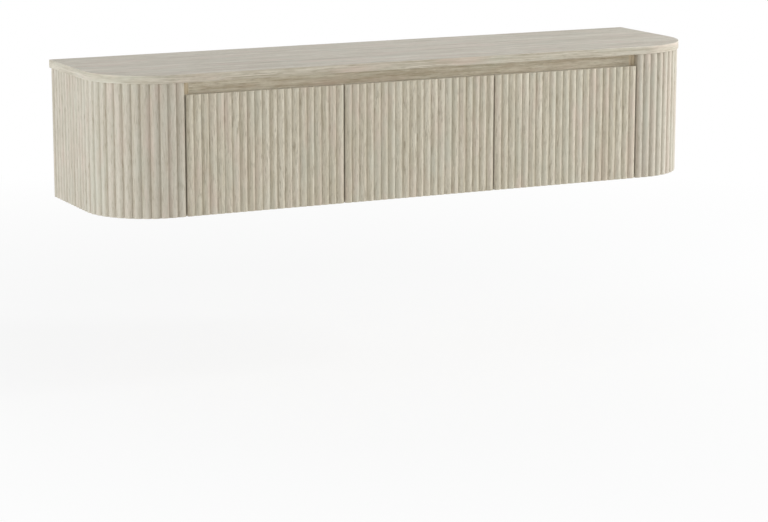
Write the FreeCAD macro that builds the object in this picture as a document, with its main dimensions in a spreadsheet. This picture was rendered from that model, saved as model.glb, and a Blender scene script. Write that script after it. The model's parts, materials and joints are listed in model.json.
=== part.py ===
import FreeCAD, Part
import math
import os
import re
import Sketcher
from FreeCAD import Placement, Rotation, Vector

# Wall-hung media cabinet with three reeded doors and rounded reeded ends.
# X runs to the right, the front faces -Y, Z is up. The wall is the plane Y = 0,
# and the origin is on the wall, at the middle of the underside.

doc = FreeCAD.newDocument("WallCabinet")
sheet = doc.addObject("Spreadsheet::Sheet", "Sizes")

sizes = [
    # Whole cabinet
    ("SlabWidth", 1800),
    ("SlabDepth", 450),
    ("CabinetHeight", 375),
    ("SlabThickness", 22),
    ("SlabOverhang", 3),
    ("SlabCornerRadius", 185),
    ("SlabEdgeRadius", 1.2),
    # Doors
    ("EndStraight", 29.75),
    ("FingerGap", 33),
    ("DoorGap", 4),
    ("ReedWidth", 21.5),
    ("ReedHeight", 4.5),
    ("FacingBase", 1),
    ("DoorBoard", 12.5),
    ("DoorBackGap", 3),
    # Carcass
    ("PanelThickness", 18),
    ("PartitionThickness", 16),
    ("BottomThickness", 18),
    ("RailThickness", 18),
    ("RailHeight", 49),
    ("BackThickness", 6),
    ("HangingRailThickness", 16),
    ("UpperRailHeight", 100),
    ("LowerRailHeight", 70),
    # Rounded ends
    ("RibThickness", 16),
    ("PostWidth", 40),
    ("PostDepth", 22),
    ("EndBackThickness", 12),
    # Holes for the wall screws
    ("WallHoleRadius", 3.5),
    ("WallHoleDrop", 68),
    ("WallHoleRise", 50),
    # Dowels
    ("DowelRadius", 4),
    ("DowelLength", 30),
    ("DowelInset", 60),
    ("DowelBite", 12),
    ("DowelClearance", 0.1),
    # Hinges
    ("HingeInset", 56),
    ("PivotInset", 7),
    ("PivotDepth", 8.6),
    ("PinRadius", 1.2),
    ("PinClearance", 0.05),
    ("EyeWall", 0.9),
    ("EyeWidth", 8.5),
    ("CupRadius", 17.5),
    ("CupEdgeDistance", 3),
    ("CupWall", 0.8),
    ("CupClearance", 0.1),
    ("EyeClearance", 0.2),
    ("FlangeThickness", 1.2),
    ("FlangeWidth", 15),
    ("FlangeLength", 60),
    ("CupScrewSpacing", 48),
    ("CupScrewOffset", 6),
    ("TongueThickness", 2),
    ("TongueDrop", 0.4),
    ("ArmWidth", 13),
    ("ArmThickness", 2.5),
    ("ArmReach", 11.5),
    ("ArmLength", 50),
    ("ArmCrank", 16),
    ("PlateThickness", 4.5),
    ("PlateLength", 46),
    ("PlateWidth", 17),
    ("PlateWing", 48),
    ("PlateWingWidth", 12),
    ("PlateWingThickness", 2),
    ("PlateSetback", 37),
    ("PlateScrewSpacing", 32),
    # Screws
    ("ScrewRadius", 1.75),
    ("ScrewHeadRadius", 3.6),
    ("ScrewHeadHeight", 1.6),
    ("CupScrewLength", 9),
    ("PlateScrewLength", 13),
    ("ArmScrewRadius", 2.5),
    ("ArmScrewHeadRadius", 4),
    ("ArmScrewHeadHeight", 2),
    ("ArmScrewSpacing", 20),
    ("HoleClearance", 0.15),
    # Door bumpers
    ("BumperRadius", 2.5),
    ("BumperClearance", 0.3),
    ("BumperInset", 3),
    ("BumperHeight", 20),
    # One overrun for every cut
    ("Overrun", 2),
]

for row, (alias, value) in enumerate(sizes, start=1):
    sheet.set(f"A{row}", alias)
    sheet.set(f"B{row}", str(value))
    sheet.setAlias(f"B{row}", alias)
doc.recompute()


# Values that follow from the sizes above, named once for sketches and shapes alike
derivedSizes = [
    ("SlabHalf", "SlabWidth / 2"),
    ("BodyHalf", "SlabWidth / 2 - SlabOverhang"),
    ("BodyDepth", "SlabDepth - SlabOverhang"),
    ("BodyCornerRadius", "SlabCornerRadius - SlabOverhang"),
    ("SlabBottom", "CabinetHeight - SlabThickness"),
    ("FacingThickness", "FacingBase + ReedHeight"),
    ("DoorThickness", "DoorBoard + FacingThickness"),
    ("EndCore", "DoorBoard + DoorBackGap"),
    ("EndShell", "EndCore + FacingThickness"),
    ("DoorBack", "BodyDepth - DoorThickness"),
    ("CarcassDepth", "BodyDepth - EndShell"),
    ("CarcassHalf", "BodyHalf - EndShell"),
    ("CarcassCornerRadius", "BodyCornerRadius - EndShell"),
    ("CoreHalf", "BodyHalf - FacingThickness"),
    ("CoreDepth", "BodyDepth - FacingThickness"),
    ("CoreCornerRadius", "BodyCornerRadius - FacingThickness"),
    ("EndInner", "BodyHalf - BodyCornerRadius - EndStraight"),
    ("DoorLeft", "EndInner - DoorGap"),
    ("DoorPitch", "(EndInner + DoorLeft) / 3"),
    ("DoorWidth", "DoorPitch - DoorGap"),
    ("DoorHeight", "SlabBottom - FingerGap"),
    ("PanelInner", "EndInner - PanelThickness"),
    ("PanelMiddle", "EndInner - PanelThickness / 2"),
    ("PartitionMiddle", "DoorPitch / 2"),
    ("BackFront", "HangingRailThickness + BackThickness"),
    ("UprightHeight", "SlabBottom - BottomThickness"),
    ("RailBottom", "SlabBottom - RailHeight"),
    ("FrontDowel", "CarcassDepth - DowelInset"),
    ("RearDowel", "BackFront + DowelInset"),
    ("DowelRest", "DowelLength - DowelBite"),
    ("DowelHole", "DowelRadius + DowelClearance"),
    ("EyeRadius", "PinRadius + PinClearance + EyeWall"),
    ("CupDepth", "PivotDepth + EyeRadius + EyeClearance + CupWall"),
    ("CupMiddle", "CupEdgeDistance + CupRadius"),
    ("CupToPivot", "CupMiddle - PivotInset"),
    ("PinLength", "2 * sqrt(CupRadius ^ 2 - (CupToPivot + PinRadius) ^ 2) - 2 * CupClearance"),
    ("CupScrewPlace", "CupMiddle + CupScrewOffset"),
    ("PivotBehindFront", "DoorThickness - PivotDepth"),
    ("PivotToCarcass", "PivotDepth + DoorBackGap"),
    ("UpperHinge", "DoorHeight - HingeInset"),
    ("WallHoleUpper", "SlabBottom - WallHoleDrop"),
    ("ScrewHole", "ScrewRadius + HoleClearance"),
    ("ArmScrewHole", "ArmScrewRadius + HoleClearance"),
]
derived = doc.addObject("App::VarSet", "Derived")
sheetNames = {alias for alias, value in sizes}
derivedNames = {name for name, expression in derivedSizes}


def named(expression):
    """Writes each plain name of a size as the full name of its cell or derived value."""
    def full(match):
        word = match[0]
        if word in sheetNames:
            return f"Sizes.{word}"
        if word in derivedNames:
            return f"Derived.{word}"
        return word

    return re.sub(r"[A-Za-z]\w*", full, expression)


def bind(item, place, expression):
    item.setExpression(place, named(expression))


def setPlace(item, x="0", y="0", z="0"):
    for axis, expression in (("x", x), ("y", y), ("z", z)):
        bind(item, f".Placement.Base.{axis}", expression)


for name, expression in derivedSizes:
    derived.addProperty("App::PropertyFloat", name)
    bind(derived, name, expression)
doc.recompute()


def value(name):
    return float(getattr(derived if name in derivedNames else sheet, name))


parts = []


def keep(item, label):
    item.Label = label
    parts.append(item)
    return item


def newBody(label):
    return keep(doc.addObject("PartDesign::Body", "Body_" + label), label)


def sketchOn(body, plane, offset=None):
    sketch = body.newObject("Sketcher::SketchObject", body.Name + "_sketch")
    support = next(item for item in body.Origin.OriginFeatures if item.Role == plane)
    sketch.AttachmentSupport = [(support, "")]
    sketch.MapMode = "FlatFace"
    if offset:
        bind(sketch, ".AttachmentOffset.Base.z", offset)
    return sketch


def limit(sketch, constraint, expression):
    index = sketch.addConstraint(constraint)
    bind(sketch, f"Constraints[{index}]", expression)


def placePoint(sketch, geometry, point, x, y):
    """Holds a point at x and y from the sketch's origin; a leading minus puts it on the other side."""
    start = value("ReedWidth")
    for kind, axis, expression in (("DistanceX", -2, x), ("DistanceY", -1, y)):
        if expression == "0":
            sketch.addConstraint(Sketcher.Constraint("PointOnObject", geometry, point, axis))
            continue
        if expression.startswith("-"):
            ends = (geometry, point, -1, 1)
        else:
            ends = (-1, 1, geometry, point)
        limit(sketch, Sketcher.Constraint(kind, *ends, start), expression.lstrip("-"))


def drawRectangle(sketch, width, height, x=None, y=None):
    start = value("ReedWidth")
    left = -start if x and x.startswith("-") else 0
    low = -start if y and y.startswith("-") else 0
    corners = [
        Vector(left, low, 0),
        Vector(left + start, low, 0),
        Vector(left + start, low + start, 0),
        Vector(left, low + start, 0),
    ]
    first = sketch.GeometryCount
    for side in range(4):
        sketch.addGeometry(Part.LineSegment(corners[side], corners[(side + 1) % 4]), False)
    for side in range(4):
        after = first + (side + 1) % 4
        sketch.addConstraint(Sketcher.Constraint("Coincident", first + side, 2, after, 1))
        kind = "Vertical" if side % 2 else "Horizontal"
        sketch.addConstraint(Sketcher.Constraint(kind, first + side))
    if x is None and y is None:
        sketch.addConstraint(Sketcher.Constraint("Coincident", first, 1, -1, 1))
    else:
        placePoint(sketch, first, 1, x, y)
    limit(sketch, Sketcher.Constraint("DistanceX", first, 1, first, 2, start), width)
    limit(sketch, Sketcher.Constraint("DistanceY", first + 1, 1, first + 1, 2, start), height)


def drawCircles(sketch, places, radius):
    start = value("ReedWidth")
    for x, y in places:
        sides = [-start if expression.startswith("-") else start for expression in (x, y)]
        circle = Part.Circle(Vector(sides[0], sides[1], 0), Vector(0, 0, 1), value("DowelRadius"))
        index = sketch.addGeometry(circle, False)
        placePoint(sketch, index, 3, x, y)
        limit(sketch, Sketcher.Constraint("Radius", index, value("DowelRadius")), radius)


def pad(body, sketch, length, reverse=False):
    feature = body.newObject("PartDesign::Pad", body.Name + "_pad")
    feature.Profile = sketch
    feature.Reversed = reverse
    bind(feature, "Length", length)
    doc.recompute()
    return feature


def pocket(body, sketch, depth, alongNormal=False):
    """Cuts against the sketch's normal, or along it, and stops if nothing was cut."""
    before = body.Shape.Volume
    feature = body.newObject("PartDesign::Pocket", body.Name + "_pocket")
    feature.Profile = sketch
    feature.Reversed = alongNormal
    bind(feature, "Length", depth)
    doc.recompute()
    if not body.Shape.Volume < before:
        raise ValueError(f"{body.Label}: a pocket cuts nothing")
    return feature


def drill(body, plane, places, radius, depth, offset=None, alongNormal=False):
    sketch = sketchOn(body, plane, offset)
    drawCircles(sketch, places, radius)
    return pocket(body, sketch, depth, alongNormal)


def board(label, plane, width, height, thickness, x="0", y="0", z="0"):
    """A flat board drawn from its own corner on one of the three planes."""
    body = newBody(label)
    sketch = sketchOn(body, plane)
    drawRectangle(sketch, width, height)
    pad(body, sketch, thickness)
    setPlace(body, x, y, z)
    return body


def mirrored(item, label):
    """The same piece on the other side of the cabinet's middle plane."""
    copy = doc.addObject("Part::Mirroring", "Mirror_" + label)
    copy.Source = item
    copy.Base = Vector(0, 0, 0)
    copy.Normal = Vector(1, 0, 0)
    doc.recompute()
    return keep(copy, label)


def shaped(label, shape):
    """A piece whose outline is worked out in a loop."""
    feature = doc.addObject("Part::Feature", "Shape_" + label)
    feature.Shape = shape
    feature.Placement = Placement(Vector(0, 0, 0), Rotation())
    return keep(feature, label)


# Plans with rounded front corners
def drawRoundedPlan(sketch, half, depth, radius, right=None):
    """Back edge on Y = 0, rounded corner at the left, and at the right unless a straight end is given."""
    wide, deep, bend = value(half), value(depth), value(radius)
    far = wide if right is None else -value(right)
    turn = math.pi / 2
    left = Part.Circle(Vector(bend - wide, bend - deep, 0), Vector(0, 0, 1), bend)
    sketch.addGeometry(Part.LineSegment(Vector(far, 0, 0), Vector(-wide, 0, 0)), False)
    sketch.addGeometry(Part.LineSegment(Vector(-wide, 0, 0), Vector(-wide, bend - deep, 0)), False)
    sketch.addGeometry(Part.ArcOfCircle(left, 2 * turn, 3 * turn), False)
    if right is None:
        other = Part.Circle(Vector(wide - bend, bend - deep, 0), Vector(0, 0, 1), bend)
        sketch.addGeometry(
            Part.LineSegment(Vector(bend - wide, -deep, 0), Vector(wide - bend, -deep, 0)), False)
        sketch.addGeometry(Part.ArcOfCircle(other, 3 * turn, 4 * turn), False)
        sketch.addGeometry(Part.LineSegment(Vector(wide, bend - deep, 0), Vector(wide, 0, 0)), False)
        chain = [("Coincident", 5, 2, 0, 1), ("Tangent", 3, 2, 4, 1), ("Tangent", 4, 2, 5, 1)]
        sketch.addConstraint(Sketcher.Constraint("Equal", 2, 4))
        limit(sketch, Sketcher.Constraint("DistanceX", 0, 2, 0, 1, 2 * wide), f"2 * {half}")
    else:
        sketch.addGeometry(Part.LineSegment(Vector(bend - wide, -deep, 0), Vector(far, -deep, 0)), False)
        sketch.addGeometry(Part.LineSegment(Vector(far, -deep, 0), Vector(far, 0, 0)), False)
        chain = [("Coincident", 4, 2, 0, 1), ("Coincident", 3, 2, 4, 1)]
        limit(sketch, Sketcher.Constraint("DistanceX", 0, 1, -1, 1, -far), right)
    chain += [("Coincident", 0, 2, 1, 1), ("Tangent", 1, 2, 2, 1), ("Tangent", 2, 2, 3, 1)]
    for kind, *ends in chain:
        sketch.addConstraint(Sketcher.Constraint(kind, *ends))
    for geometry in (0, 3):
        sketch.addConstraint(Sketcher.Constraint("Horizontal", geometry))
    for geometry in (1, 5 if right is None else 4):
        sketch.addConstraint(Sketcher.Constraint("Vertical", geometry))
    sketch.addConstraint(Sketcher.Constraint("PointOnObject", 0, 2, -1))
    limit(sketch, Sketcher.Constraint("DistanceX", 0, 2, -1, 1, wide), half)
    limit(sketch, Sketcher.Constraint("DistanceY", 3, 1, -1, 1, deep), depth)
    limit(sketch, Sketcher.Constraint("Radius", 2, bend), radius)


def dowelPlaces(middles):
    return [(x, y) for x in middles for y in ("-FrontDowel", "-RearDowel")]


uprightMiddles = ("-PanelMiddle", "-PartitionMiddle", "PartitionMiddle", "PanelMiddle")


def makeSlab():
    body = newBody("top_slab")
    sketch = sketchOn(body, "XY_Plane")
    drawRoundedPlan(sketch, "SlabHalf", "SlabDepth", "SlabCornerRadius")
    pad(body, sketch, "SlabThickness")
    drill(body, "XY_Plane", dowelPlaces(uprightMiddles), "DowelHole", "DowelBite", alongNormal=True)
    plain = body.Tip
    small = value("SlabEdgeRadius")
    rim = [
        f"Edge{number}"
        for number, edge in enumerate(plain.Shape.Edges, start=1)
        if edge.BoundBox.YMin < -small and edge.BoundBox.ZLength < small and not edge.Closed
    ]
    soft = body.newObject("PartDesign::Fillet", "SlabEdge")
    soft.Base = (plain, rim)
    bind(soft, "Radius", "SlabEdgeRadius")
    doc.recompute()
    setPlace(body, z="SlabBottom")


def makeBottom():
    body = newBody("bottom_panel")
    sketch = sketchOn(body, "XY_Plane")
    drawRoundedPlan(sketch, "CarcassHalf", "CarcassDepth", "CarcassCornerRadius")
    pad(body, sketch, "BottomThickness")
    drill(body, "XY_Plane", dowelPlaces(uprightMiddles), "DowelHole", "DowelBite", offset="BottomThickness")


def drillDowels(body, middle, front):
    """Dowel holes in both ends of an upright; its plan's corner is at its front edge."""
    places = [(middle, "DowelInset"), (middle, f"{front} - RearDowel")]
    drill(body, "XY_Plane", places, "DowelHole", "DowelRest", alongNormal=True)
    drill(body, "XY_Plane", places, "DowelHole", "DowelRest", offset="UprightHeight")


def plateHoles():
    """Pilot holes for the screws of both hinge plates, seen from the side."""
    heights = [f"{hinge} - BottomThickness {sign} PlateScrewSpacing / 2"
               for hinge in ("HingeInset", "UpperHinge") for sign in ("-", "+")]
    return [("PlateSetback", height) for height in heights]


def makeUprights():
    side = board("left_side_panel", "YZ_Plane", "CarcassDepth", "UprightHeight", "PanelThickness",
                 "-EndInner", "-CarcassDepth", "BottomThickness")
    drillDowels(side, "PanelThickness / 2", "CarcassDepth")
    drill(side, "YZ_Plane", plateHoles(), "ScrewHole", "PlateScrewLength", offset="PanelThickness")
    mirrored(side, "right_side_panel")
    for name, start in (("left", "-PartitionMiddle - PartitionThickness / 2"),
                        ("right", "PartitionMiddle - PartitionThickness / 2")):
        wall = board(name + "_partition", "YZ_Plane", "CarcassDepth - BackFront", "UprightHeight",
                     "PartitionThickness", start, "-CarcassDepth", "BottomThickness")
        notch = sketchOn(wall, "YZ_Plane")
        drawRectangle(notch, "RailThickness", "RailHeight", "0", "UprightHeight - RailHeight")
        pocket(wall, notch, "PartitionThickness", alongNormal=True)
        drillDowels(wall, "PartitionThickness / 2", "CarcassDepth")
        if name == "left":
            drill(wall, "YZ_Plane", plateHoles(), "ScrewHole", "PlateScrewLength",
                  offset="PartitionThickness")


def wallPlaces(heights, low):
    """Wall screws behind the middle of each compartment, from a board's left lower corner."""
    across = ("PanelInner - DoorPitch", "PanelInner", "PanelInner + DoorPitch")
    return [(x, f"{height} - {low}") for x in across for height in heights]


def makeBack():
    both = ("WallHoleRise", "WallHoleUpper")
    back = board("back_panel", "XZ_Plane", "2 * PanelInner", "UprightHeight", "BackThickness",
                 "-PanelInner", "-HangingRailThickness", "BottomThickness")
    drill(back, "XZ_Plane", wallPlaces(both, "BottomThickness"), "WallHoleRadius", "BackThickness",
          alongNormal=True)
    upper = board("upper_hanging_rail", "XZ_Plane", "2 * PanelInner", "UpperRailHeight",
                  "HangingRailThickness", "-PanelInner", "0", "SlabBottom - UpperRailHeight")
    drill(upper, "XZ_Plane", wallPlaces(both[1:], "(SlabBottom - UpperRailHeight)"), "WallHoleRadius",
          "HangingRailThickness", alongNormal=True)
    lower = board("lower_hanging_rail", "XZ_Plane", "2 * PanelInner", "LowerRailHeight",
                  "HangingRailThickness", "-PanelInner", "0", "BottomThickness")
    drill(lower, "XZ_Plane", wallPlaces(both[:1], "BottomThickness"), "WallHoleRadius",
          "HangingRailThickness", alongNormal=True)


def makeFrontRail():
    board("front_rail", "XZ_Plane", "2 * PanelInner", "RailHeight", "RailThickness",
          "-PanelInner", "-CarcassDepth + RailThickness", "RailBottom")


# Rounded ends
def drawBand(sketch):
    """Plan of the bent core: front, corner and side, at one thickness all the way."""
    half, deep, bend = value("CoreHalf"), value("CoreDepth"), value("CoreCornerRadius")
    thick, inner = value("EndCore"), value("EndInner")
    turn = math.pi / 2
    centre = Vector(bend - half, bend - deep, 0)
    up = Vector(0, 0, 1)
    shapes = [
        Part.LineSegment(Vector(-inner, -deep, 0), Vector(centre.x, -deep, 0)),
        Part.ArcOfCircle(Part.Circle(centre, up, bend), 2 * turn, 3 * turn),
        Part.LineSegment(Vector(-half, centre.y, 0), Vector(-half, 0, 0)),
        Part.LineSegment(Vector(-half, 0, 0), Vector(thick - half, 0, 0)),
        Part.LineSegment(Vector(thick - half, 0, 0), Vector(thick - half, centre.y, 0)),
        Part.ArcOfCircle(Part.Circle(centre, up, bend - thick), 2 * turn, 3 * turn),
        Part.LineSegment(Vector(centre.x, thick - deep, 0), Vector(-inner, thick - deep, 0)),
        Part.LineSegment(Vector(-inner, thick - deep, 0), Vector(-inner, -deep, 0)),
    ]
    for shape in shapes:
        sketch.addGeometry(shape, False)
    for kind, *ends in (
        ("Tangent", 0, 2, 1, 2), ("Tangent", 1, 1, 2, 1), ("Coincident", 2, 2, 3, 1),
        ("Coincident", 3, 2, 4, 1), ("Tangent", 4, 2, 5, 1), ("Tangent", 5, 2, 6, 1),
        ("Coincident", 6, 2, 7, 1), ("Coincident", 7, 2, 0, 1), ("Coincident", 1, 3, 5, 3),
        ("Horizontal", 0), ("Horizontal", 3), ("Vertical", 2), ("Vertical", 7),
        ("PointOnObject", 2, 2, -1),
    ):
        sketch.addConstraint(Sketcher.Constraint(kind, *ends))
    limit(sketch, Sketcher.Constraint("DistanceX", 3, 1, -1, 1, half), "CoreHalf")
    limit(sketch, Sketcher.Constraint("DistanceY", 0, 1, -1, 1, deep), "CoreDepth")
    limit(sketch, Sketcher.Constraint("DistanceX", 0, 1, -1, 1, inner), "EndInner")
    limit(sketch, Sketcher.Constraint("Radius", 1, bend), "CoreCornerRadius")
    limit(sketch, Sketcher.Constraint("Radius", 5, bend - thick), "CoreCornerRadius - EndCore")


def flatPath(left, right, depth):
    """A straight front, from left to right, as a function of the distance along it."""
    def point(distance):
        return Vector(left + distance, -depth, 0), Vector(0, -1, 0)
    return point, right - left


def endPath(inner, half, depth, bend, innerBend):
    """From the inner edge along the front, round the corner and back along the side to the wall.
    The distance runs along the inside of the bend, because the reeds spread when their board is bent."""
    front = half - bend - inner
    corner = innerBend * math.pi / 2

    def point(distance):
        if distance <= front:
            return Vector(-inner - distance, -depth, 0), Vector(0, -1, 0)
        if distance >= front + corner:
            return Vector(-half, bend - depth + distance - front - corner, 0), Vector(-1, 0, 0)
        angle = (distance - front) / innerBend
        outward = Vector(-math.sin(angle), -math.cos(angle), 0)
        return Vector(bend - half, bend - depth, 0) + outward * bend, outward
    return point, front + corner + depth - bend


def reededFace(path, backEdges):
    """Plan of a reeded facing: one arc for each reed, closed by the edges of its flat back."""
    point, length = path
    count = round(length / value("ReedWidth"))
    edges = []
    for reed in range(count):
        start, middle, end = (point(length * (reed + share) / count) for share in (0, 1 / 2, 1))
        crest = middle[0] + middle[1] * value("ReedHeight")
        edges.append(Part.Arc(start[0], crest, end[0]).toShape())
    return Part.Face(Part.Wire(edges + backEdges))


def line(first, last):
    return Part.LineSegment(first, last).toShape()


def makeEndFacing():
    half, depth, bend = value("CoreHalf"), value("CoreDepth"), value("CoreCornerRadius")
    base, inner = value("FacingBase"), value("EndInner")
    centre = Vector(bend - half, bend - depth, 0)
    diagonal = Vector(-math.sin(math.pi / 4), -math.cos(math.pi / 4), 0)
    face = reededFace(
        endPath(inner, half + base, depth + base, bend + base, value("CarcassCornerRadius")),
        [
            line(Vector(-half - base, 0, 0), Vector(-half, 0, 0)),
            line(Vector(-half, 0, 0), Vector(-half, centre.y, 0)),
            Part.Arc(Vector(-half, centre.y, 0), centre + diagonal * bend,
                     Vector(centre.x, -depth, 0)).toShape(),
            line(Vector(centre.x, -depth, 0), Vector(-inner, -depth, 0)),
            line(Vector(-inner, -depth, 0), Vector(-inner, -depth - base, 0)),
        ],
    )
    return shaped("left_end_facing", face.extrude(Vector(0, 0, value("SlabBottom"))))


def makeEndRib(name, height):
    rib = newBody(name)
    sketch = sketchOn(rib, "XY_Plane")
    drawRoundedPlan(sketch, "CarcassHalf", "CarcassDepth", "CarcassCornerRadius", right="EndInner")
    pad(rib, sketch, "RibThickness")
    corner = sketchOn(rib, "XY_Plane")
    drawRectangle(corner, "PostWidth", "PostDepth", "-(EndInner + PostWidth)", "-CarcassDepth")
    pocket(rib, corner, "RibThickness", alongNormal=True)
    rear = sketchOn(rib, "XY_Plane")
    drawRectangle(rear, "CarcassHalf - EndInner", "EndBackThickness", "-CarcassHalf", "-EndBackThickness")
    pocket(rib, rear, "RibThickness", alongNormal=True)
    setPlace(rib, z=height)
    return rib


def makeEnds():
    core = newBody("left_end_core")
    sketch = sketchOn(core, "XY_Plane")
    drawBand(sketch)
    pad(core, sketch, "SlabBottom")
    mirrored(core, "right_end_core")
    mirrored(makeEndFacing(), "right_end_facing")
    ribHeights = {"upper": "SlabBottom - RibThickness", "middle": "(SlabBottom - RibThickness) / 2"}
    for level, height in ribHeights.items():
        mirrored(makeEndRib(f"left_end_{level}_rib", height), f"right_end_{level}_rib")
    stick = block("left_end_post_stick", "-EndInner - PostWidth", "-CarcassDepth", "BottomThickness",
                  "PostWidth", "PostDepth", "UprightHeight")
    post = keep(cut("left_end_post_cut", stick, [core]), "left_end_post")
    mirrored(post, "right_end_post")
    back = board("left_end_back", "XZ_Plane", "CarcassHalf - EndInner", "UprightHeight", "EndBackThickness",
                 "-CarcassHalf", "0", "BottomThickness")
    mirrored(back, "right_end_back")


# Doors and hinges, drawn for the left door and moved along for the middle one
hingeHeights = {"lower": "HingeInset", "upper": "UpperHinge"}
pivotX = "-DoorLeft + PivotInset"
pivotY = "-(DoorBack + PivotDepth)"


def makeDoorBoard(label, shift):
    body = board(label, "XZ_Plane", "DoorWidth", "DoorHeight", "DoorBoard",
                 f"-DoorLeft + {shift}", "-DoorBack")
    heights = hingeHeights.values()
    drill(body, "XZ_Plane", [("CupMiddle", height) for height in heights], "CupRadius + CupClearance",
          "CupDepth + CupClearance", alongNormal=True)
    pilots = [("CupScrewPlace", f"{height} {sign} CupScrewSpacing / 2")
              for height in heights for sign in ("-", "+")]
    drill(body, "XZ_Plane", pilots, "ScrewHole", "CupScrewLength", alongNormal=True)
    return body


def makeDoorFacing(label, shift):
    depth, base = value("DoorBack") + value("DoorBoard"), value("FacingBase")
    left = shift - value("DoorLeft")
    right = left + value("DoorWidth")
    face = reededFace(
        flatPath(left, right, depth + base),
        [
            line(Vector(right, -depth - base, 0), Vector(right, -depth, 0)),
            line(Vector(right, -depth, 0), Vector(left, -depth, 0)),
            line(Vector(left, -depth, 0), Vector(left, -depth - base, 0)),
        ],
    )
    return shaped(label, face.extrude(Vector(0, 0, value("DoorHeight"))))


def makeCup(label, shift, height):
    """Steel cup with a screw flange; the hinge pin crosses it near the door's edge."""
    body = newBody(label)
    outer = sketchOn(body, "XZ_Plane")
    drawCircles(outer, [("0", "0")], "CupRadius")
    pad(body, outer, "CupDepth")
    rim = sketchOn(body, "XZ_Plane")
    drawCircles(rim, [("0", "0")], "CupRadius + CupWall")
    pad(body, rim, "FlangeThickness", reverse=True)
    flange = sketchOn(body, "XZ_Plane")
    drawRectangle(flange, "FlangeWidth", "FlangeLength",
                  "-(FlangeWidth / 2 - CupScrewOffset)", "-FlangeLength / 2")
    pad(body, flange, "FlangeThickness", reverse=True)
    drill(body, "XZ_Plane", [("0", "0")], "CupRadius - CupWall", "CupDepth - CupWall + FlangeThickness",
          offset="-FlangeThickness", alongNormal=True)
    ends = [("CupScrewOffset", f"{sign}CupScrewSpacing / 2") for sign in ("-", "")]
    drill(body, "XZ_Plane", ends, "ScrewHole", "FlangeThickness + Overrun")
    drill(body, "XY_Plane", [("-CupToPivot", "-PivotDepth")], "PinRadius + PinClearance", "PinLength",
          offset="PinLength / 2")
    setPlace(body, f"-DoorLeft + CupMiddle + {shift}", "-DoorBack", height)
    return body


def primitive(kind, name, **sizesOf):
    item = doc.addObject("Part::" + kind, name)
    for key, expression in sizesOf.items():
        bind(item, key, expression)
    return item


def block(name, x, y, z, length, width, height):
    item = primitive("Box", name, Length=length, Width=width, Height=height)
    setPlace(item, x, y, z)
    return item


def fuse(name, items):
    item = doc.addObject("Part::MultiFuse", name)
    item.Shapes = items
    return item


def cut(name, base, tools):
    item = doc.addObject("Part::Cut", name)
    item.Base = base
    item.Tool = tools[0] if len(tools) == 1 else fuse(name + "_cuts", tools)
    return item


def across(name, x, y, z, radius, length):
    """A cylinder along X."""
    item = primitive("Cylinder", name, Radius=radius, Height=length)
    item.Placement = Placement(Vector(0, 0, 0), Rotation(Vector(0, 1, 0), 90))
    setPlace(item, x, y, z)
    return item


def armScrewPlaces():
    middle = "-CarcassDepth + PlateSetback"
    return [f"{middle} {sign} ArmScrewSpacing / 2" for sign in ("-", "+")]


def makeArm(label, shift, face, height):
    """Cranked arm: eye and tongue inside the cup, leg, crank and the channel on the plate."""
    pivot = f"{pivotX} + {shift}"
    channel = f"{face} + PlateThickness"
    eye = primitive("Cylinder", label + "_eye", Radius="EyeRadius", Height="EyeWidth")
    setPlace(eye, pivot, pivotY, f"{height} - EyeWidth / 2")
    tongue = block(label + "_tongue", pivot, f"{pivotY} - TongueThickness / 2 - TongueDrop",
                   f"{height} - EyeWidth / 2", "ArmReach + ArmThickness", "TongueThickness", "EyeWidth")
    low = f"{height} - ArmWidth / 2"
    leg = block(label + "_leg", f"{pivot} + ArmReach", f"{pivotY} - TongueThickness / 2 - TongueDrop", low,
                "ArmThickness", "ArmCrank + ArmThickness + TongueThickness / 2 + TongueDrop", "ArmWidth")
    crank = block(label + "_crank", channel, f"{pivotY} + ArmCrank", low,
                  f"{pivot} + ArmReach + ArmThickness - ({channel})", "ArmThickness", "ArmWidth")
    web = block(label + "_channel", channel, f"{pivotY} + ArmCrank", low,
                "ArmThickness", "ArmLength", "ArmWidth")
    bore = primitive("Cylinder", label + "_bore", Radius="PinRadius + PinClearance", Height="PinLength")
    setPlace(bore, pivot, pivotY, f"{height} - PinLength / 2")
    holes = [across(f"{label}_hole", f"{channel} - Overrun", y, height, "ArmScrewHole",
                    "ArmThickness + 2 * Overrun") for y in armScrewPlaces()]
    solid = fuse(label + "_solid", [eye, tongue, leg, crank, web])
    return keep(cut(label + "_cut", solid, [bore] + holes), label)


def makePlate(label, face, height):
    """Mounting plate with a wing above and below for its two screws."""
    middle = "-CarcassDepth + PlateSetback"
    plate = block(label + "_plate", face, f"{middle} - PlateLength / 2", f"{height} - PlateWidth / 2",
                  "PlateThickness", "PlateLength", "PlateWidth")
    wing = block(label + "_wing", face, f"{middle} - PlateWingWidth / 2", f"{height} - PlateWing / 2",
                 "PlateWingThickness", "PlateWingWidth", "PlateWing")
    holes = [across(f"{label}_hole", f"{face} - Overrun", middle, f"{height} {sign} PlateScrewSpacing / 2",
                    "ScrewHole", "PlateThickness + 2 * Overrun") for sign in ("-", "+")]
    holes += [across(f"{label}_thread", f"{face} - Overrun", y, height, "ArmScrewHole",
                     "PlateThickness + 2 * Overrun") for y in armScrewPlaces()]
    return keep(cut(label + "_cut", fuse(label + "_solid", [plate, wing]), holes), label)


# Round pieces that come in groups of separate solids
def group(label, solids):
    return shaped(label, Part.makeCompound(solids))


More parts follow.
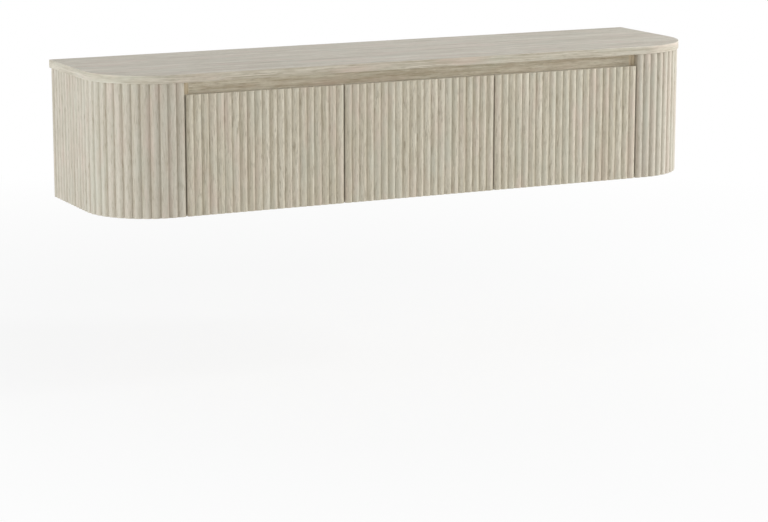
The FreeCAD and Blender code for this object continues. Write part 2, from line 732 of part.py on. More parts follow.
def screw(place, direction, radius, length, headRadius, headHeight):
    """Pan-head screw: place is under the head, direction points along the shank."""
    shank = Part.makeCylinder(radius, length, place, direction)
    head = Part.makeCylinder(headRadius, headHeight, place, -direction)
    top = place - direction * headHeight
    rim = [edge for edge in head.Edges
           if edge.Closed and abs((edge.CenterOfMass - top).dot(direction)) < headHeight / 2]
    return head.makeFillet(headHeight / 2, rim).fuse(shank).removeSplitter()


def doorHeights():
    return [value(name) for name in hingeHeights.values()]


def makeHingePins(label, shift):
    x = value("PivotInset") - value("DoorLeft") + shift
    y = -value("DoorBack") - value("PivotDepth")
    long = value("PinLength")
    return group(label, [
        Part.makeCylinder(value("PinRadius"), long, Vector(x, y, height - long / 2))
        for height in doorHeights()
    ])


def makeCupScrews(label, shift):
    x = value("CupScrewPlace") - value("DoorLeft") + shift
    y = value("FlangeThickness") - value("DoorBack")
    half = value("CupScrewSpacing") / 2
    return group(label, [
        screw(Vector(x, y, height + side * half), Vector(0, -1, 0), value("ScrewRadius"),
              value("CupScrewLength"), value("ScrewHeadRadius"), value("ScrewHeadHeight"))
        for height in doorHeights() for side in (-1, 1)
    ])


def makeBumpers(label, shift):
    x = value("DoorWidth") - value("BumperInset") - value("DoorLeft") + shift
    thick = value("DoorBackGap") - value("BumperClearance")
    heights = (value("BumperHeight"), value("DoorHeight") - value("BumperHeight"))
    places = [Vector(x, -value("DoorBack"), height) for height in heights]
    return group(label, [
        Part.makeCylinder(value("BumperRadius"), thick, place, Vector(0, 1, 0)) for place in places
    ])


def makeDoor(name, steps, face):
    """One door with its two hinges; the wall that carries them has its inner face at x = face."""
    shift = f"{steps} * DoorPitch"
    moved = steps * value("DoorPitch")
    made = [
        makeDoorBoard(name + "_door_board", shift),
        makeDoorFacing(name + "_door_facing", moved),
        makeHingePins(name + "_door_hinge_pins", moved),
        makeCupScrews(name + "_door_cup_screws", moved),
        makeBumpers(name + "_door_bumpers", moved),
    ]
    for level, height in hingeHeights.items():
        made += [
            makeCup(f"{name}_door_{level}_hinge_cup", shift, height),
            makeArm(f"{name}_door_{level}_hinge_arm", shift, face, height),
            makePlate(f"{name}_door_{level}_hinge_plate", face, height),
        ]
    return made


def makeDoors():
    for piece in makeDoor("left", 0, "-PanelInner"):
        mirrored(piece, piece.Label.replace("left", "right"))
    makeDoor("middle", 1, "-PartitionMiddle + PartitionThickness / 2")


def makeWallScrews():
    """Screws of the hinge plates and of the arms, on the left, middle and right door's wall."""
    wallY = value("PlateSetback") - value("CarcassDepth")
    leftFace = -value("PanelInner")
    middleFace = value("PartitionThickness") / 2 - value("PartitionMiddle")
    plateScrews = []
    armScrews = []
    for face, side in ((leftFace, 1), (middleFace, 1), (-leftFace, -1)):
        inward = Vector(-side, 0, 0)
        plateTop = face + side * value("PlateWingThickness")
        armTop = face + side * (value("PlateThickness") + value("ArmThickness"))
        for height in doorHeights():
            for end in (-1, 1):
                wing = height + end * value("PlateScrewSpacing") / 2
                plateScrews.append(screw(
                    Vector(plateTop, wallY, wing), inward, value("ScrewRadius"), value("PlateScrewLength"),
                    value("ScrewHeadRadius"), value("ScrewHeadHeight")))
                along = wallY + end * value("ArmScrewSpacing") / 2
                armScrews.append(screw(
                    Vector(armTop, along, height), inward, value("ArmScrewRadius"),
                    value("PlateThickness") + value("ArmThickness"), value("ArmScrewHeadRadius"),
                    value("ArmScrewHeadHeight")))
    group("hinge_plate_screws", plateScrews)
    group("hinge_arm_screws", armScrews)


def makeDowels():
    upright = (value("PanelMiddle"), value("PartitionMiddle"))
    places = [(side * x, -y) for x in upright for side in (-1, 1)
              for y in (value("FrontDowel"), value("RearDowel"))]
    low = value("BottomThickness") - value("DowelBite")
    high = value("SlabBottom") - value("DowelRest")
    group("carcass_dowels", [
        Part.makeCylinder(value("DowelRadius"), value("DowelLength"), Vector(x, y, start))
        for x, y in places for start in (low, high)
    ])


makeSlab()
makeBottom()
makeUprights()
makeFrontRail()
makeBack()
makeEnds()
makeDoors()
makeWallScrews()
makeDowels()
doc.recompute()

for item in doc.Objects:
    if {"Invalid", "Error"} & set(item.State):
        raise ValueError(f"{item.Label} did not compute: {item.State}")
for item in parts:
    if item.Shape.isNull() or not item.Shape.isValid():
        raise ValueError(f"{item.Label} has no valid shape")

os.makedirs("parts", exist_ok=True)
for item in parts:
    item.Shape.exportStep(f"parts/{item.Label}.step")
    box = item.Shape.BoundBox
    print(f"{item.Label}: {len(item.Shape.Solids)} solids, {item.Shape.Volume / 1000:.1f} cm3, "
          f"{box.XLength:.1f} x {box.YLength:.1f} x {box.ZLength:.1f} mm")
print(len(parts), "pieces")
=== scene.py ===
import json
import math
import bmesh
import bpy
from mathutils import Color, Matrix, Vector


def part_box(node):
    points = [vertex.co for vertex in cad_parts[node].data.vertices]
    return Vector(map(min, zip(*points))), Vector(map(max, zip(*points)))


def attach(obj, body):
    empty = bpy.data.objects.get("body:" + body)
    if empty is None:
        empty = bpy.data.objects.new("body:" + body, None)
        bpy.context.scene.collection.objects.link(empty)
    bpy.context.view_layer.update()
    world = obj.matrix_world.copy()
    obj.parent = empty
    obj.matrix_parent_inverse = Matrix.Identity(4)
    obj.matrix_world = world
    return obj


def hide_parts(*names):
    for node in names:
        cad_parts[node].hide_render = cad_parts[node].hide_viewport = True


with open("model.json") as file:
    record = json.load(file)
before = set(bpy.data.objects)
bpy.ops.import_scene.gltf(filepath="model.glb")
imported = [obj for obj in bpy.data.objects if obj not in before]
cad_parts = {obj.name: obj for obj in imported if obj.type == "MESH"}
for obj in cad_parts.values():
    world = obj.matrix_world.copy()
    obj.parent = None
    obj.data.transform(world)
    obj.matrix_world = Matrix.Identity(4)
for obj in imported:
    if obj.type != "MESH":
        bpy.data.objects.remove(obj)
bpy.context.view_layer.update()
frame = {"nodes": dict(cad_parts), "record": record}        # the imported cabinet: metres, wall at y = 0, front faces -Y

scene = bpy.context.scene
up = Vector((0, 0, 1))
toWall = Vector((0, 1, 0))
quarter = math.pi / 2
touching = 1e-5             # points nearer to each other than this are one
straight = 0.9              # a normal or edge with more than this along an axis follows it
doors = {"left": 1, "middle": 1, "right": -1}       # 1 hangs on its left edge, -1 on its right


# Camera, light and floor
cameraLook = {
    "place": (-3.111, -6.552, 1.221),
    "turn": 26.16,          # degrees to the right of straight at the wall
    "down": 11.55,
    "lens": 119.6,
    "sensor": 36,
}


def makeCamera():
    data = bpy.data.cameras.new("photoCamera")
    data.sensor_width = cameraLook["sensor"]
    data.lens = cameraLook["lens"]
    camera = bpy.data.objects.new("photoCamera", data)
    camera.location = cameraLook["place"]
    down, turn = math.radians(cameraLook["down"]), math.radians(cameraLook["turn"])
    camera.rotation_euler = (quarter - down, 0, -turn)
    scene.collection.objects.link(camera)
    scene.camera = camera


# where each soft box hangs, what it looks at, its size and its power
softBoxes = {
    "leftBox": {"place": (-4.9, -0.3, 1.0), "aim": (-0.8, -0.3, 0.2), "size": (0.5, 1.2), "watts": 99,
                "colour": (0.9, 0.95, 1.0)},
    "rightBox": {"place": (4.5, -1.4, 1.4), "aim": (0.1, -0.4, 0.2), "size": (0.47, 1.35), "watts": 158,
                 "colour": (0.95, 0.98, 1.0)},
    "frontBox": {"place": (-1.6, -6.5, 0.9), "aim": (-0.2, -0.4, 0.2), "size": (2.4, 1.2), "watts": 76,
                 "colour": (1.0, 1.0, 0.98)},
}


def makeLights():
    for name, look in softBoxes.items():
        data = bpy.data.lights.new(name, "AREA")
        data.shape = "RECTANGLE"
        data.size, data.size_y = look["size"]
        data.energy = look["watts"]
        data.color = look["colour"]
        lamp = bpy.data.objects.new(name, data)
        lamp.location = look["place"]
        away = Vector(look["place"]) - Vector(look["aim"])
        lamp.rotation_euler = away.to_track_quat("Z", "Y").to_euler()
        lamp.visible_glossy = False     # no glare along the flat top from low angles
        scene.collection.objects.link(lamp)


def addNode(tree, kind, inputs=None, **settings):
    # makes a node with its settings, constants and links, and gives its outputs
    node = tree.nodes.new("ShaderNode" + kind)
    for name, setting in settings.items():
        setattr(node, name, setting)
    for socket, given in (inputs or {}).items():
        if isinstance(given, bpy.types.NodeSocket):
            tree.links.new(given, node.inputs[socket])
        else:
            node.inputs[socket].default_value = given
    return node.outputs


def reckoned(tree, operation, *values, **settings):
    return addNode(tree, "Math", dict(enumerate(values)), operation=operation, **settings)[0]


def ranged(tree, value, start, end, low=0, high=1):
    # goes from low to high while the value goes from start to end
    return addNode(tree, "MapRange", {"Value": value, "From Min": start, "From Max": end,
                                      "To Min": low, "To Max": high})[0]


def blended(tree, share, first, second):
    # one colour going over into another
    return addNode(tree, "Mix", {0: share, 6: first, 7: second}, data_type="RGBA")[2]


def mixed(tree, share, first, second):
    # one value going over into another
    return addNode(tree, "Mix", {0: share, 2: first, 3: second}, data_type="FLOAT")[0]


def clouded(tree, vector, scale, detail, rough=0.5):
    return addNode(tree, "TexNoise", {"Vector": vector, "Scale": scale, "Detail": detail,
                                      "Roughness": rough})


def emptied(block):
    # the node tree of a material or a world, without the nodes it comes with
    block.use_nodes = True
    block.node_tree.nodes.clear()
    return block.node_tree


def newMaterial(name):
    material = bpy.data.materials.new(name)
    return material, emptied(material)


def moved(bm, vec):
    bmesh.ops.translate(bm, vec=vec, verts=bm.verts)


def placed(name, bm, material):
    mesh = bpy.data.meshes.new(name)
    bm.to_mesh(mesh)
    bm.free()
    mesh.materials.append(material)
    item = bpy.data.objects.new(name, mesh)
    scene.collection.objects.link(item)
    return item


def seenDirectly(tree):
    # 1 for rays from the camera, from gloss and through glass, which all see the white studio
    path = addNode(tree, "LightPath")
    direct = reckoned(tree, "MAXIMUM", path["Is Camera Ray"], path["Is Glossy Ray"])
    return reckoned(tree, "MAXIMUM", direct, path["Is Transmission Ray"])


stageLook = {
    "floorDrop": 0.5,       # the cabinet hangs this far above the floor
    "floorRadius": 60,
    "floorSteps": 64,
    "floorColour": (0.86, 0.86, 0.85, 1),
    "floorWhite": 0.8,      # share of the floor near the cabinet that is plain white to the camera
    "fadeStart": 1.2,       # from here outward the floor goes over into plain white
    "fadeEnd": 3.2,
    "white": (1, 1, 1, 1),
    "air": 0.54,            # light from all around
}


def makeAir():
    world = bpy.data.worlds.new("studio")
    tree = emptied(world)
    soft = addNode(tree, "Background", {"Color": stageLook["white"], "Strength": stageLook["air"]})
    bright = addNode(tree, "Background", {"Color": stageLook["white"], "Strength": 1})
    both = addNode(tree, "MixShader", {0: seenDirectly(tree), 1: soft[0], 2: bright[0]})
    addNode(tree, "OutputWorld", {"Surface": both[0]})
    scene.world = world


def makeFloor():
    paint, tree = newMaterial("paleFloor")
    matt = addNode(tree, "BsdfDiffuse", {"Color": stageLook["floorColour"]})
    bright = addNode(tree, "Emission", {"Color": stageLook["white"], "Strength": 1})
    place = addNode(tree, "TexCoord")["Object"]
    distance = addNode(tree, "VectorMath", {0: place}, operation="LENGTH")["Value"]
    whiteness = ranged(tree, distance, stageLook["fadeStart"], stageLook["fadeEnd"], stageLook["floorWhite"])
    share = reckoned(tree, "MULTIPLY", seenDirectly(tree), whiteness)
    both = addNode(tree, "MixShader", {0: share, 1: matt[0], 2: bright[0]})
    # clear from below, so that the underside can be seen
    below = addNode(tree, "NewGeometry")["Backfacing"]
    clear = addNode(tree, "BsdfTransparent", {"Color": stageLook["white"]})
    skin = addNode(tree, "MixShader", {0: below, 1: both[0], 2: clear[0]})
    addNode(tree, "OutputMaterial", {"Surface": skin[0]})

    bm = bmesh.new()
    bmesh.ops.create_circle(bm, cap_ends=True, segments=stageLook["floorSteps"],
                            radius=stageLook["floorRadius"])
    moved(bm, (0, 0, -stageLook["floorDrop"]))
    floor = placed("studioFloor", bm, paint)


makeCamera()
makeLights()
makeAir()
makeFloor()
scene.view_settings.view_transform = "Standard"
print("camera, light and floor are set")


# Finishes
def newGroup(name, inputs, outputs):
    # the names of the sockets are given by kind
    tree = bpy.data.node_groups.new(name, "ShaderNodeTree")
    for direction, kinds in (("INPUT", inputs), ("OUTPUT", outputs)):
        for kind, names in kinds.items():
            for socket in names:
                tree.interface.new_socket(name=socket, in_out=direction, socket_type="NodeSocket" + kind)
    return tree, tree.nodes.new("NodeGroupInput").outputs, tree.nodes.new("NodeGroupOutput").inputs


grainLook = {
    # each noise: its scale along and across the grain, its detail and its roughness
    "slowDrift": (2.4, 11, 2, 0.5),
    "quickDrift": (13, 70, 2, 0.5),
    "narrowBands": (1.2, 62, 6, 0.62),
    "broadBands": (1.4, 17, 3, 0.5),
    "staves": (4, 230, 4, 0.6),
    "mottle": (18, 95, 3, 0.6),
    "fibres": (9, 620, 3, 0.6),
    "flecks": (30, 260, 2, 0.6),
    "ticks": (42, 1500, 1, 0.5),
    "patches": (6, 24, 3, 0.6),
    # between which levels of its noise each mark comes in
    "bandFade": (0.38, 0.62),
    "staveFade": (0.36, 0.64),
    "fibreFade": (0.46, 0.64),
    "fleckFade": (0.56, 0.68),
    "tickFade": (0.58, 0.66),
    "patchFade": (0.5, 0.72),
    "slowReach": 0.022,         # how far the grain wanders across the board
    "quickReach": 0.0018,
    "broadShare": 0.35,         # of the broad bands
    "mottleDepth": 3.2,
    "lineFade": (0.6, 0.1, 0.3),        # the fibres show from 0.3 in pale wood up to 1 in dark
    "gloss": (0.36, 0.54),
}


def makeGrain():
    # Bleached oak: X of the vector runs along the grain, Y across it, both in metres
    look = grainLook
    tree, given, out = newGroup(
        "oakGrain",
        {"Vector": ["Vector"], "Color": ["Pale", "Body", "Streak", "Pink", "Green"],
         "Float": ["Wander", "Staves", "Mottle", "Streaks", "Pores", "Patches", "Seed"]},
        {"Color": ["Color"], "Float": ["Roughness", "Height"]})
    parts = addNode(tree, "SeparateXYZ", {0: given["Vector"]})

    def noise(kind, across):
        # drawn out along the grain
        alongScale, acrossScale, detail, rough = look[kind]
        vector = addNode(tree, "CombineXYZ", {
            0: reckoned(tree, "MULTIPLY", parts[0], alongScale),
            1: reckoned(tree, "MULTIPLY", across, acrossScale), 2: given["Seed"]})[0]
        return clouded(tree, vector, 1, detail, rough)

    def centred(level, amount):
        return reckoned(tree, "MULTIPLY", reckoned(tree, "SUBTRACT", level, 0.5), amount)

    def faded(level, fade):
        return ranged(tree, level, *look[fade])

    # the grain wanders a little across the board
    drift = reckoned(tree, "ADD", centred(noise("slowDrift", parts[1])["Fac"], look["slowReach"]),
                     centred(noise("quickDrift", parts[1])["Fac"], look["quickReach"]))
    across = reckoned(tree, "MULTIPLY_ADD", drift, given["Wander"], parts[1])
    narrow, broad, staves, mottle, fibres, flecks, ticks = [
        noise(kind, across)["Fac"]
        for kind in ("narrowBands", "broadBands", "staves", "mottle", "fibres", "flecks", "ticks")]

    bands = mixed(tree, look["broadShare"], narrow, broad)
    paleness = mixed(tree, given["Staves"], faded(bands, "bandFade"), faded(staves, "staveFade"))
    cloudy = reckoned(tree, "MULTIPLY_ADD", centred(mottle, look["mottleDepth"]), given["Mottle"], paleness,
                      use_clamp=True)
    body = blended(tree, cloudy, given["Body"], given["Pale"])
    lines = reckoned(tree, "MULTIPLY", faded(fibres, "fibreFade"), faded(paleness, "lineFade"))
    lined = blended(tree, reckoned(tree, "MULTIPLY", lines, given["Streaks"]), body, given["Streak"])
    tickMask = faded(ticks, "tickFade")
    marks = reckoned(tree, "MAXIMUM", tickMask, faded(flecks, "fleckFade"))
    toned = blended(tree, reckoned(tree, "MULTIPLY", marks, given["Pores"]), lined, given["Streak"])

    # some staves lean to pink and some to green under the bleach
    tint = addNode(tree, "SeparateColor", {0: noise("patches", across)["Color"]})
    for number, colour in enumerate(("Pink", "Green")):
        share = reckoned(tree, "MULTIPLY", faded(tint[number], "patchFade"), given["Patches"])
        toned = blended(tree, share, toned, given[colour])
    tree.links.new(toned, out["Color"])
    tree.links.new(ranged(tree, fibres, 0, 1, *look["gloss"]), out["Roughness"])
    tree.links.new(reckoned(tree, "SUBTRACT", fibres, tickMask), out["Height"])
    return tree


def makeWearShade():
    # Lighter where an edge is eased and rubbed, and painted shade down in a reed's valley, both from the
    # piece's own mark of wear and shade
    tree, given, out = newGroup("edgeWearValleyShade", {"Color": ["Color", "Rubbed", "ValleyShade"], "Float": ["Amount"]},
                                {"Color": ["Color"]})
    mark = addNode(tree, "Attribute", attribute_name="wearAndShade")["Fac"]
    rubbed = blended(tree, ranged(tree, mark, 0, 1, 0, given["Amount"]), given["Color"], given["Rubbed"])
    valleyShaded = blended(tree, ranged(tree, mark, 0, -1, 0, given["Amount"]), rubbed, given["ValleyShade"])
    tree.links.new(valleyShaded, out["Color"])
    return tree


platingLook = {
    "clouds": (160, 3),                 # scale and detail
    "lineStretch": (900, 90, 900),      # drawn out along Y
    "lines": (3, 2),
    "spotFade": (0.45, 0.75),
    "glossFade": (0.15, 0.4),
}


def makePlating():
    # Plated steel: cloudy plating, fine drawn lines and a few dull spots
    look = platingLook
    tree, given, out = newGroup(
        "platedSkin", {"Vector": ["Vector"], "Color": ["Base", "Dull"], "Float": ["Smooth", "Coarse"]},
        {"Color": ["Color"], "Float": ["Roughness", "Height"]})
    cloud = clouded(tree, given["Vector"], *look["clouds"])["Fac"]
    drawn = addNode(tree, "VectorMath", {0: given["Vector"], 1: look["lineStretch"]}, operation="MULTIPLY")
    lines = clouded(tree, drawn[0], *look["lines"])["Fac"]
    spots = ranged(tree, cloud, *look["spotFade"])
    rough = ranged(tree, reckoned(tree, "MULTIPLY", cloud, lines), *look["glossFade"],
                   given["Smooth"], given["Coarse"])
    tree.links.new(blended(tree, spots, given["Base"], given["Dull"]), out["Color"])
    tree.links.new(rough, out["Roughness"])
    tree.links.new(lines, out["Height"])
    return tree


grainGroup = makeGrain()
wearShadeGroup = makeWearShade()
platingGroup = makePlating()


def rgb(*levels):
    # a colour as it reads on screen, made linear
    return (*Color([level / 255 for level in levels]).from_srgb_to_scene_linear(), 1)


def forSockets(look):
    # colours are made linear, and all else stays as it is
    return {socket: rgb(*value) if isinstance(value, tuple) else value for socket, value in look.items()}


# Looks have the names of the groups' sockets, with colours as they read on screen
oakLook = {
    "Pale": (213, 208, 196),
    "Body": (181, 173, 155),
    "Streak": (148, 138, 118),
    "Pink": (201, 180, 167),
    "Green": (187, 187, 172),
    # how strong each part of the figure is
    "Wander": 1.0,
    "Staves": 0.5,          # share of the narrow staves against the wide bands
    "Mottle": 0.5,
    "Streaks": 0.8,
    "Pores": 0.5,
    "Patches": 0.5,
    # how much the wear and the painted shade in the reed valleys show, and their colours
    "Amount": 0.3,
    "Rubbed": (218, 212, 199),
    "ValleyShade": (166, 153, 131),
}
platedWear = {"Amount": 0.5, "Rubbed": (236, 234, 228), "ValleyShade": (96, 92, 84)}
woodCoat = {"relief": {"Strength": 0.3, "Distance": 0.0003}, "shader": {"Specular IOR Level": 0.42}}
metalCoat = {"relief": {"Strength": 0.15, "Distance": 0.0001}, "shader": {"Metallic": 1.0}}


def coat(tree, skin, wearAndShade, look):
    # wear with painted valley shade, relief and shader over a grain or a plating
    worn = addNode(tree, "Group", {"Color": skin["Color"], **forSockets(wearAndShade)}, node_tree=wearShadeGroup)
    relief = addNode(tree, "Bump", {"Height": skin["Height"], **look["relief"]})
    shader = addNode(tree, "BsdfPrincipled", {
        "Base Color": worn["Color"], "Roughness": skin["Roughness"],
        "Normal": relief[0], **look["shader"]})
    addNode(tree, "OutputMaterial", {"Surface": shader[0]})


def wood(name, own, veneered=True):
    # own holds what differs from the bleached oak
    look = {**oakLook, **own}
    wearAndShade = {socket: look.pop(socket) for socket in ("Amount", "Rubbed", "ValleyShade")}
    material, tree = newMaterial(name)
    if veneered:
        place = addNode(tree, "UVMap", uv_map="veneer")[0]
    else:
        # solid stuff: the grain runs along X, right through
        solid = addNode(tree, "SeparateXYZ", {0: addNode(tree, "TexCoord")["Object"]})
        through = reckoned(tree, "ADD", solid[1], solid[2])
        place = addNode(tree, "CombineXYZ", {0: solid[0], 1: through})[0]
    grain = addNode(tree, "Group", {"Vector": place, **forSockets(look)}, node_tree=grainGroup)
    coat(tree, grain, wearAndShade, woodCoat)
    return material


def plated(name, look):
    material, tree = newMaterial(name)
    place = addNode(tree, "TexCoord")["Object"]
    skin = addNode(tree, "Group", {"Vector": place, **forSockets(look)}, node_tree=platingGroup)
    coat(tree, skin, platedWear, metalCoat)
    return material


bumperSkin = {
    "clouds": (700, 2),
    "clear": (226, 224, 216),
    "milky": (196, 193, 182),
    "gloss": (0.2, 0.45),
    "shader": {"Transmission Weight": 0.5, "IOR": 1.45},
}


def softPlastic(name):
    look = bumperSkin
    material, tree = newMaterial(name)
    place = addNode(tree, "TexCoord")["Object"]
    cloud = clouded(tree, place, *look["clouds"])["Fac"]
    shader = addNode(tree, "BsdfPrincipled", {
        "Base Color": blended(tree, cloud, rgb(*look["clear"]), rgb(*look["milky"])),
        "Roughness": ranged(tree, cloud, 0, 1, *look["gloss"]), **look["shader"]})
    addNode(tree, "OutputMaterial", {"Surface": shader[0]})
    return material


oakAlong = wood("bleachedOakAlong", {
    "Seed": 1.7, "Pale": (220, 213, 199), "Body": (174, 165, 145), "Wander": 0.6, "Mottle": 0.3})
# a deeper, browner copy of the oak for the recessed rail: painted shade under the slab
oakRailShaded = wood("bleachedOakRailShaded", {
    "Seed": 3.1, "Pale": (214, 206, 187), "Body": (184, 172, 149), "Streak": (140, 124, 97),
    "Pink": (199, 179, 161), "Green": (188, 185, 165), "Wander": 0.6, "Mottle": 0.8})
# the darker valley colour here is painted shade in the reed valleys
oakDoors = wood("bleachedOakDoors", {
    "Seed": 5.3, "Pale": (211, 204, 187), "Body": (189, 180, 159), "Streak": (158, 148, 129),
    "Wander": 0.15, "Staves": 0.4, "Mottle": 0.55, "Pores": 0.9,
    "Rubbed": (208, 201, 186), "ValleyShade": (168, 158, 138)})
# a darker copy of the oak for the ends: painted shade, with deeper painted shade in the reed valleys
oakEndsShaded = wood("bleachedOakEndsShaded", {
    "Seed": 7.9, "Pale": (199, 192, 178), "Body": (179, 170, 153), "ValleyShade": (140, 129, 110),
    "Wander": 0.15, "Staves": 0.4, "Mottle": 0.3, "Streaks": 0.6, "Pores": 0.7})
# a paler copy of the oak: painted light on the backs of the doors
oakBoardLit = wood("bleachedOakBoardLit", {"Seed": 9.1, "Pale": (222, 216, 202), "Body": (192, 184, 166)})
# a warmer, browner copy of the oak for the inside: painted shade
oakInsideShaded = wood("bleachedOakInsideShaded", {
    "Seed": 11.7, "Pale": (222, 209, 183), "Body": (194, 176, 146), "Streak": (140, 121, 91)})
# a deep brown copy of the oak for the back: painted shade inside the cabinet
oakBackShaded = wood("bleachedOakBackShaded", {
    "Seed": 14.9, "Pale": (197, 177, 143), "Body": (134, 112, 79), "Streak": (92, 71, 44),
    "Pink": (164, 138, 112), "Green": (142, 134, 108), "Rubbed": (200, 188, 164),
    "Wander": 2.0, "Staves": 0.15})
rawWood = {
    "Pale": (206, 186, 152), "Body": (190, 166, 128), "Streak": (150, 122, 84),
    "Pink": (200, 168, 136), "Green": (188, 172, 132), "Rubbed": (214, 196, 164), "Streaks": 0.5,
}
plainBoard = wood("rawBoard", {**rawWood, "Seed": 21.3})
plainSolid = wood("rawSolid", {**rawWood, "Seed": 23.9}, veneered=False)
dowelWood = wood("beechDowel", {**rawWood, "Seed": 27.1, "Streaks": 0.3, "Pores": 0.6}, veneered=False)
nickel = plated("nickelPlate", {
    "Base": (226, 223, 216), "Dull": (204, 200, 191), "Smooth": 0.2, "Coarse": 0.38})
screwSteel = plated("zincPlate", {
    "Base": (216, 218, 220), "Dull": (188, 190, 193), "Smooth": 0.24, "Coarse": 0.42})
clearRubber = softPlastic("clearRubber")
print("finishes are mixed")


# Piece making
shapeLook = {
    "sharp": math.radians(38),      # flatter edges are shaded smooth
    "easeSteps": 3,
    "proud": 0.5,                   # edges turning more than this, in radians, stand proud
    "corner": 1.2,                  # and more than this are square corners
}


def newObject(name, bm, material, body, slot, *nodes):
    piece = placed(name, bm, material)
    piece.data.shade_smooth()
    piece.data.set_sharp_from_angle(angle=shapeLook["sharp"])
    flat = piece.modifiers.new("flatFaces", "WEIGHTED_NORMAL")
    flat.keep_sharp = True
    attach(piece, body)
    if nodes:
        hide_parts(*nodes)


def joined(bm, part):
    # adds one finished shape to a piece that is made of several
    mesh = bpy.data.meshes.new("part")
    part.to_mesh(mesh)
    part.free()
    bm.from_mesh(mesh)
    bpy.data.meshes.remove(mesh)


def welded(bm):
    bmesh.ops.remove_doubles(bm, verts=bm.verts, dist=touching)


def faceOut(bm):
    bmesh.ops.recalc_face_normals(bm, faces=bm.faces)


def mirrored(bm):
    # turned over to the other side, with its faces still outward
    bmesh.ops.scale(bm, vec=(-1, 1, 1), verts=bm.verts)
    bmesh.ops.reverse_faces(bm, faces=bm.faces)


def rounded(bm, edges, radius, steps, clamp=True):
    return bmesh.ops.bevel(bm, geom=edges, offset=radius, offset_type="OFFSET", affect="EDGES",
                           segments=steps, profile=0.5, material=-1, clamp_overlap=clamp)


def ease(bm, edges, size):
    # rounds edges and marks the rounding, so that the finish can be rubbed there
    wearAndShade = bm.verts.layers.float.get("wearAndShade") or bm.verts.layers.float.new("wearAndShade")
    made = rounded(bm, edges, size, shapeLook["easeSteps"])
    fresh = set(made["faces"])
    for vert in made["verts"]:
        if all(face in fresh for face in vert.link_faces):
            vert[wearAndShade] = 1


def proudEdges(bm, least=shapeLook["proud"]):
    return [edge for edge in bm.edges if edge.is_manifold and edge.calc_face_angle_signed() > least]


def isLevel(edge):
    return abs(edge.verts[0].co.z - edge.verts[1].co.z) < touching


def vertsIn(geom):
    return [item for item in geom if isinstance(item, bmesh.types.BMVert)]


def edgesIn(geom):
    return [item for item in geom if isinstance(item, bmesh.types.BMEdge)]


def pulled(bm, edges, vec):
    # draws edges out into faces, and gives their new edges
    made = bmesh.ops.extrude_edge_only(bm, edges=edges)
    verts = vertsIn(made["geom"])
    bmesh.ops.translate(bm, vec=vec, verts=verts)
    fresh = set(verts)
    return [edge for edge in edgesIn(made["geom"]) if fresh.issuperset(edge.verts)]


def raised(bm, faces, vec):
    # draws faces out into a body
    made = bmesh.ops.extrude_face_region(bm, geom=faces)
    bmesh.ops.translate(bm, vec=vec, verts=vertsIn(made["geom"]))


def cutAcross(bm, axis, place):
    normal = Matrix.Identity(3)[axis].copy()
    bmesh.ops.bisect_plane(bm, geom=bm.verts[:] + bm.edges[:] + bm.faces[:], plane_co=normal * place,
                           plane_no=normal)


def newRing(bm, radius, steps, matrix):
    made = bmesh.ops.create_circle(bm, cap_ends=False, segments=steps, radius=radius, matrix=matrix)
    return list(dict.fromkeys(edge for vert in made["verts"] for edge in vert.link_edges))


def turned(profile, axis, steps):
    # a profile of (radius, distance along the axis) spun right round
    bm = bmesh.new()
    verts = [bm.verts.new(Vector((radius, 0, 0)) + axis * distance) for radius, distance in profile]
    edges = [bm.edges.new(pair) for pair in zip(verts, verts[1:])]
    bmesh.ops.spin(bm, geom=verts + edges, cent=(0, 0, 0), axis=axis, angle=4 * quarter, steps=steps,
                   use_merge=True)
    welded(bm)
    faceOut(bm)
    return bm


def turnedAt(places, profile, axis, steps):
    # the same turned shape at each place
    bm = bmesh.new()
    for place in places:
        part = turned(profile, axis, steps)
        moved(part, place)
        joined(bm, part)
    return bm


def rawBoard(low, high):
    bm = bmesh.new()
    bmesh.ops.create_cube(bm, size=1)
    bmesh.ops.scale(bm, vec=high - low, verts=bm.verts)
    moved(bm, (low + high) / 2)
    return bm


# where each piece is cut from the veneer, along and across the grain
veneerCuts = {
    "slab": (0, 0), "bottom": (2.2, 31), "frontRail": (2.6, 4.2),
    "leftDoorReeds": (0.4, 3.1), "middleDoorReeds": (1.7, 5.2), "rightDoorReeds": (2.9, 7.9),
    "leftEndReeds": (4.1, 11.3), "rightEndReeds": (5.6, 13.7),
    "leftDoorBoard": (1.1, 51), "middleDoorBoard": (2.3, 53), "rightDoorBoard": (3.7, 57),
    "leftEndCore": (6.1, 41), "rightEndCore": (7.3, 43),
    "leftEndBack": (3.9, 6.3), "rightEndBack": (5.2, 8.4),
    "leftSide": (0, 0), "rightSide": (1.3, 2.1), "leftPartition": (3.3, 21), "rightPartition": (5.1, 23),
    "back": (2.471, 3.883), "wallScrewCaps": (0.7, 61),
    "upperHangingRail": (2.471, 3.883), "lowerHangingRail": (0.616, 0.968),
}


def veneer(bm, name, along, unrolled=None):
    # Lays the veneer map: U along the grain, V across it. A face square to the grain is edged with
    # veneer along its longer side. A bent piece gives its own distance along the bend.
    layer = bm.loops.layers.uv.get("veneer") or bm.loops.layers.uv.new("veneer")
    shift = veneerCuts[name]
    sides = [max(vert.co[axis] for vert in bm.verts) - min(vert.co[axis] for vert in bm.verts)
             for axis in range(3)]
    for face in bm.faces:
        facing = max(range(3), key=lambda axis: abs(face.normal[axis]))
        rest = [axis for axis in range(3) if axis != facing]
        first = along if along in rest else max(rest, key=lambda axis: sides[axis])
        second = rest[0] if rest[1] == first else rest[1]
        for loop in face.loops:
            place = loop.vert.co
            if unrolled:
                pair = unrolled(place, face.normal)
            else:
                pair = (place[first], place[second] + facing)
            loop[layer].uv = (pair[0] + shift[0], pair[1] + shift[1])


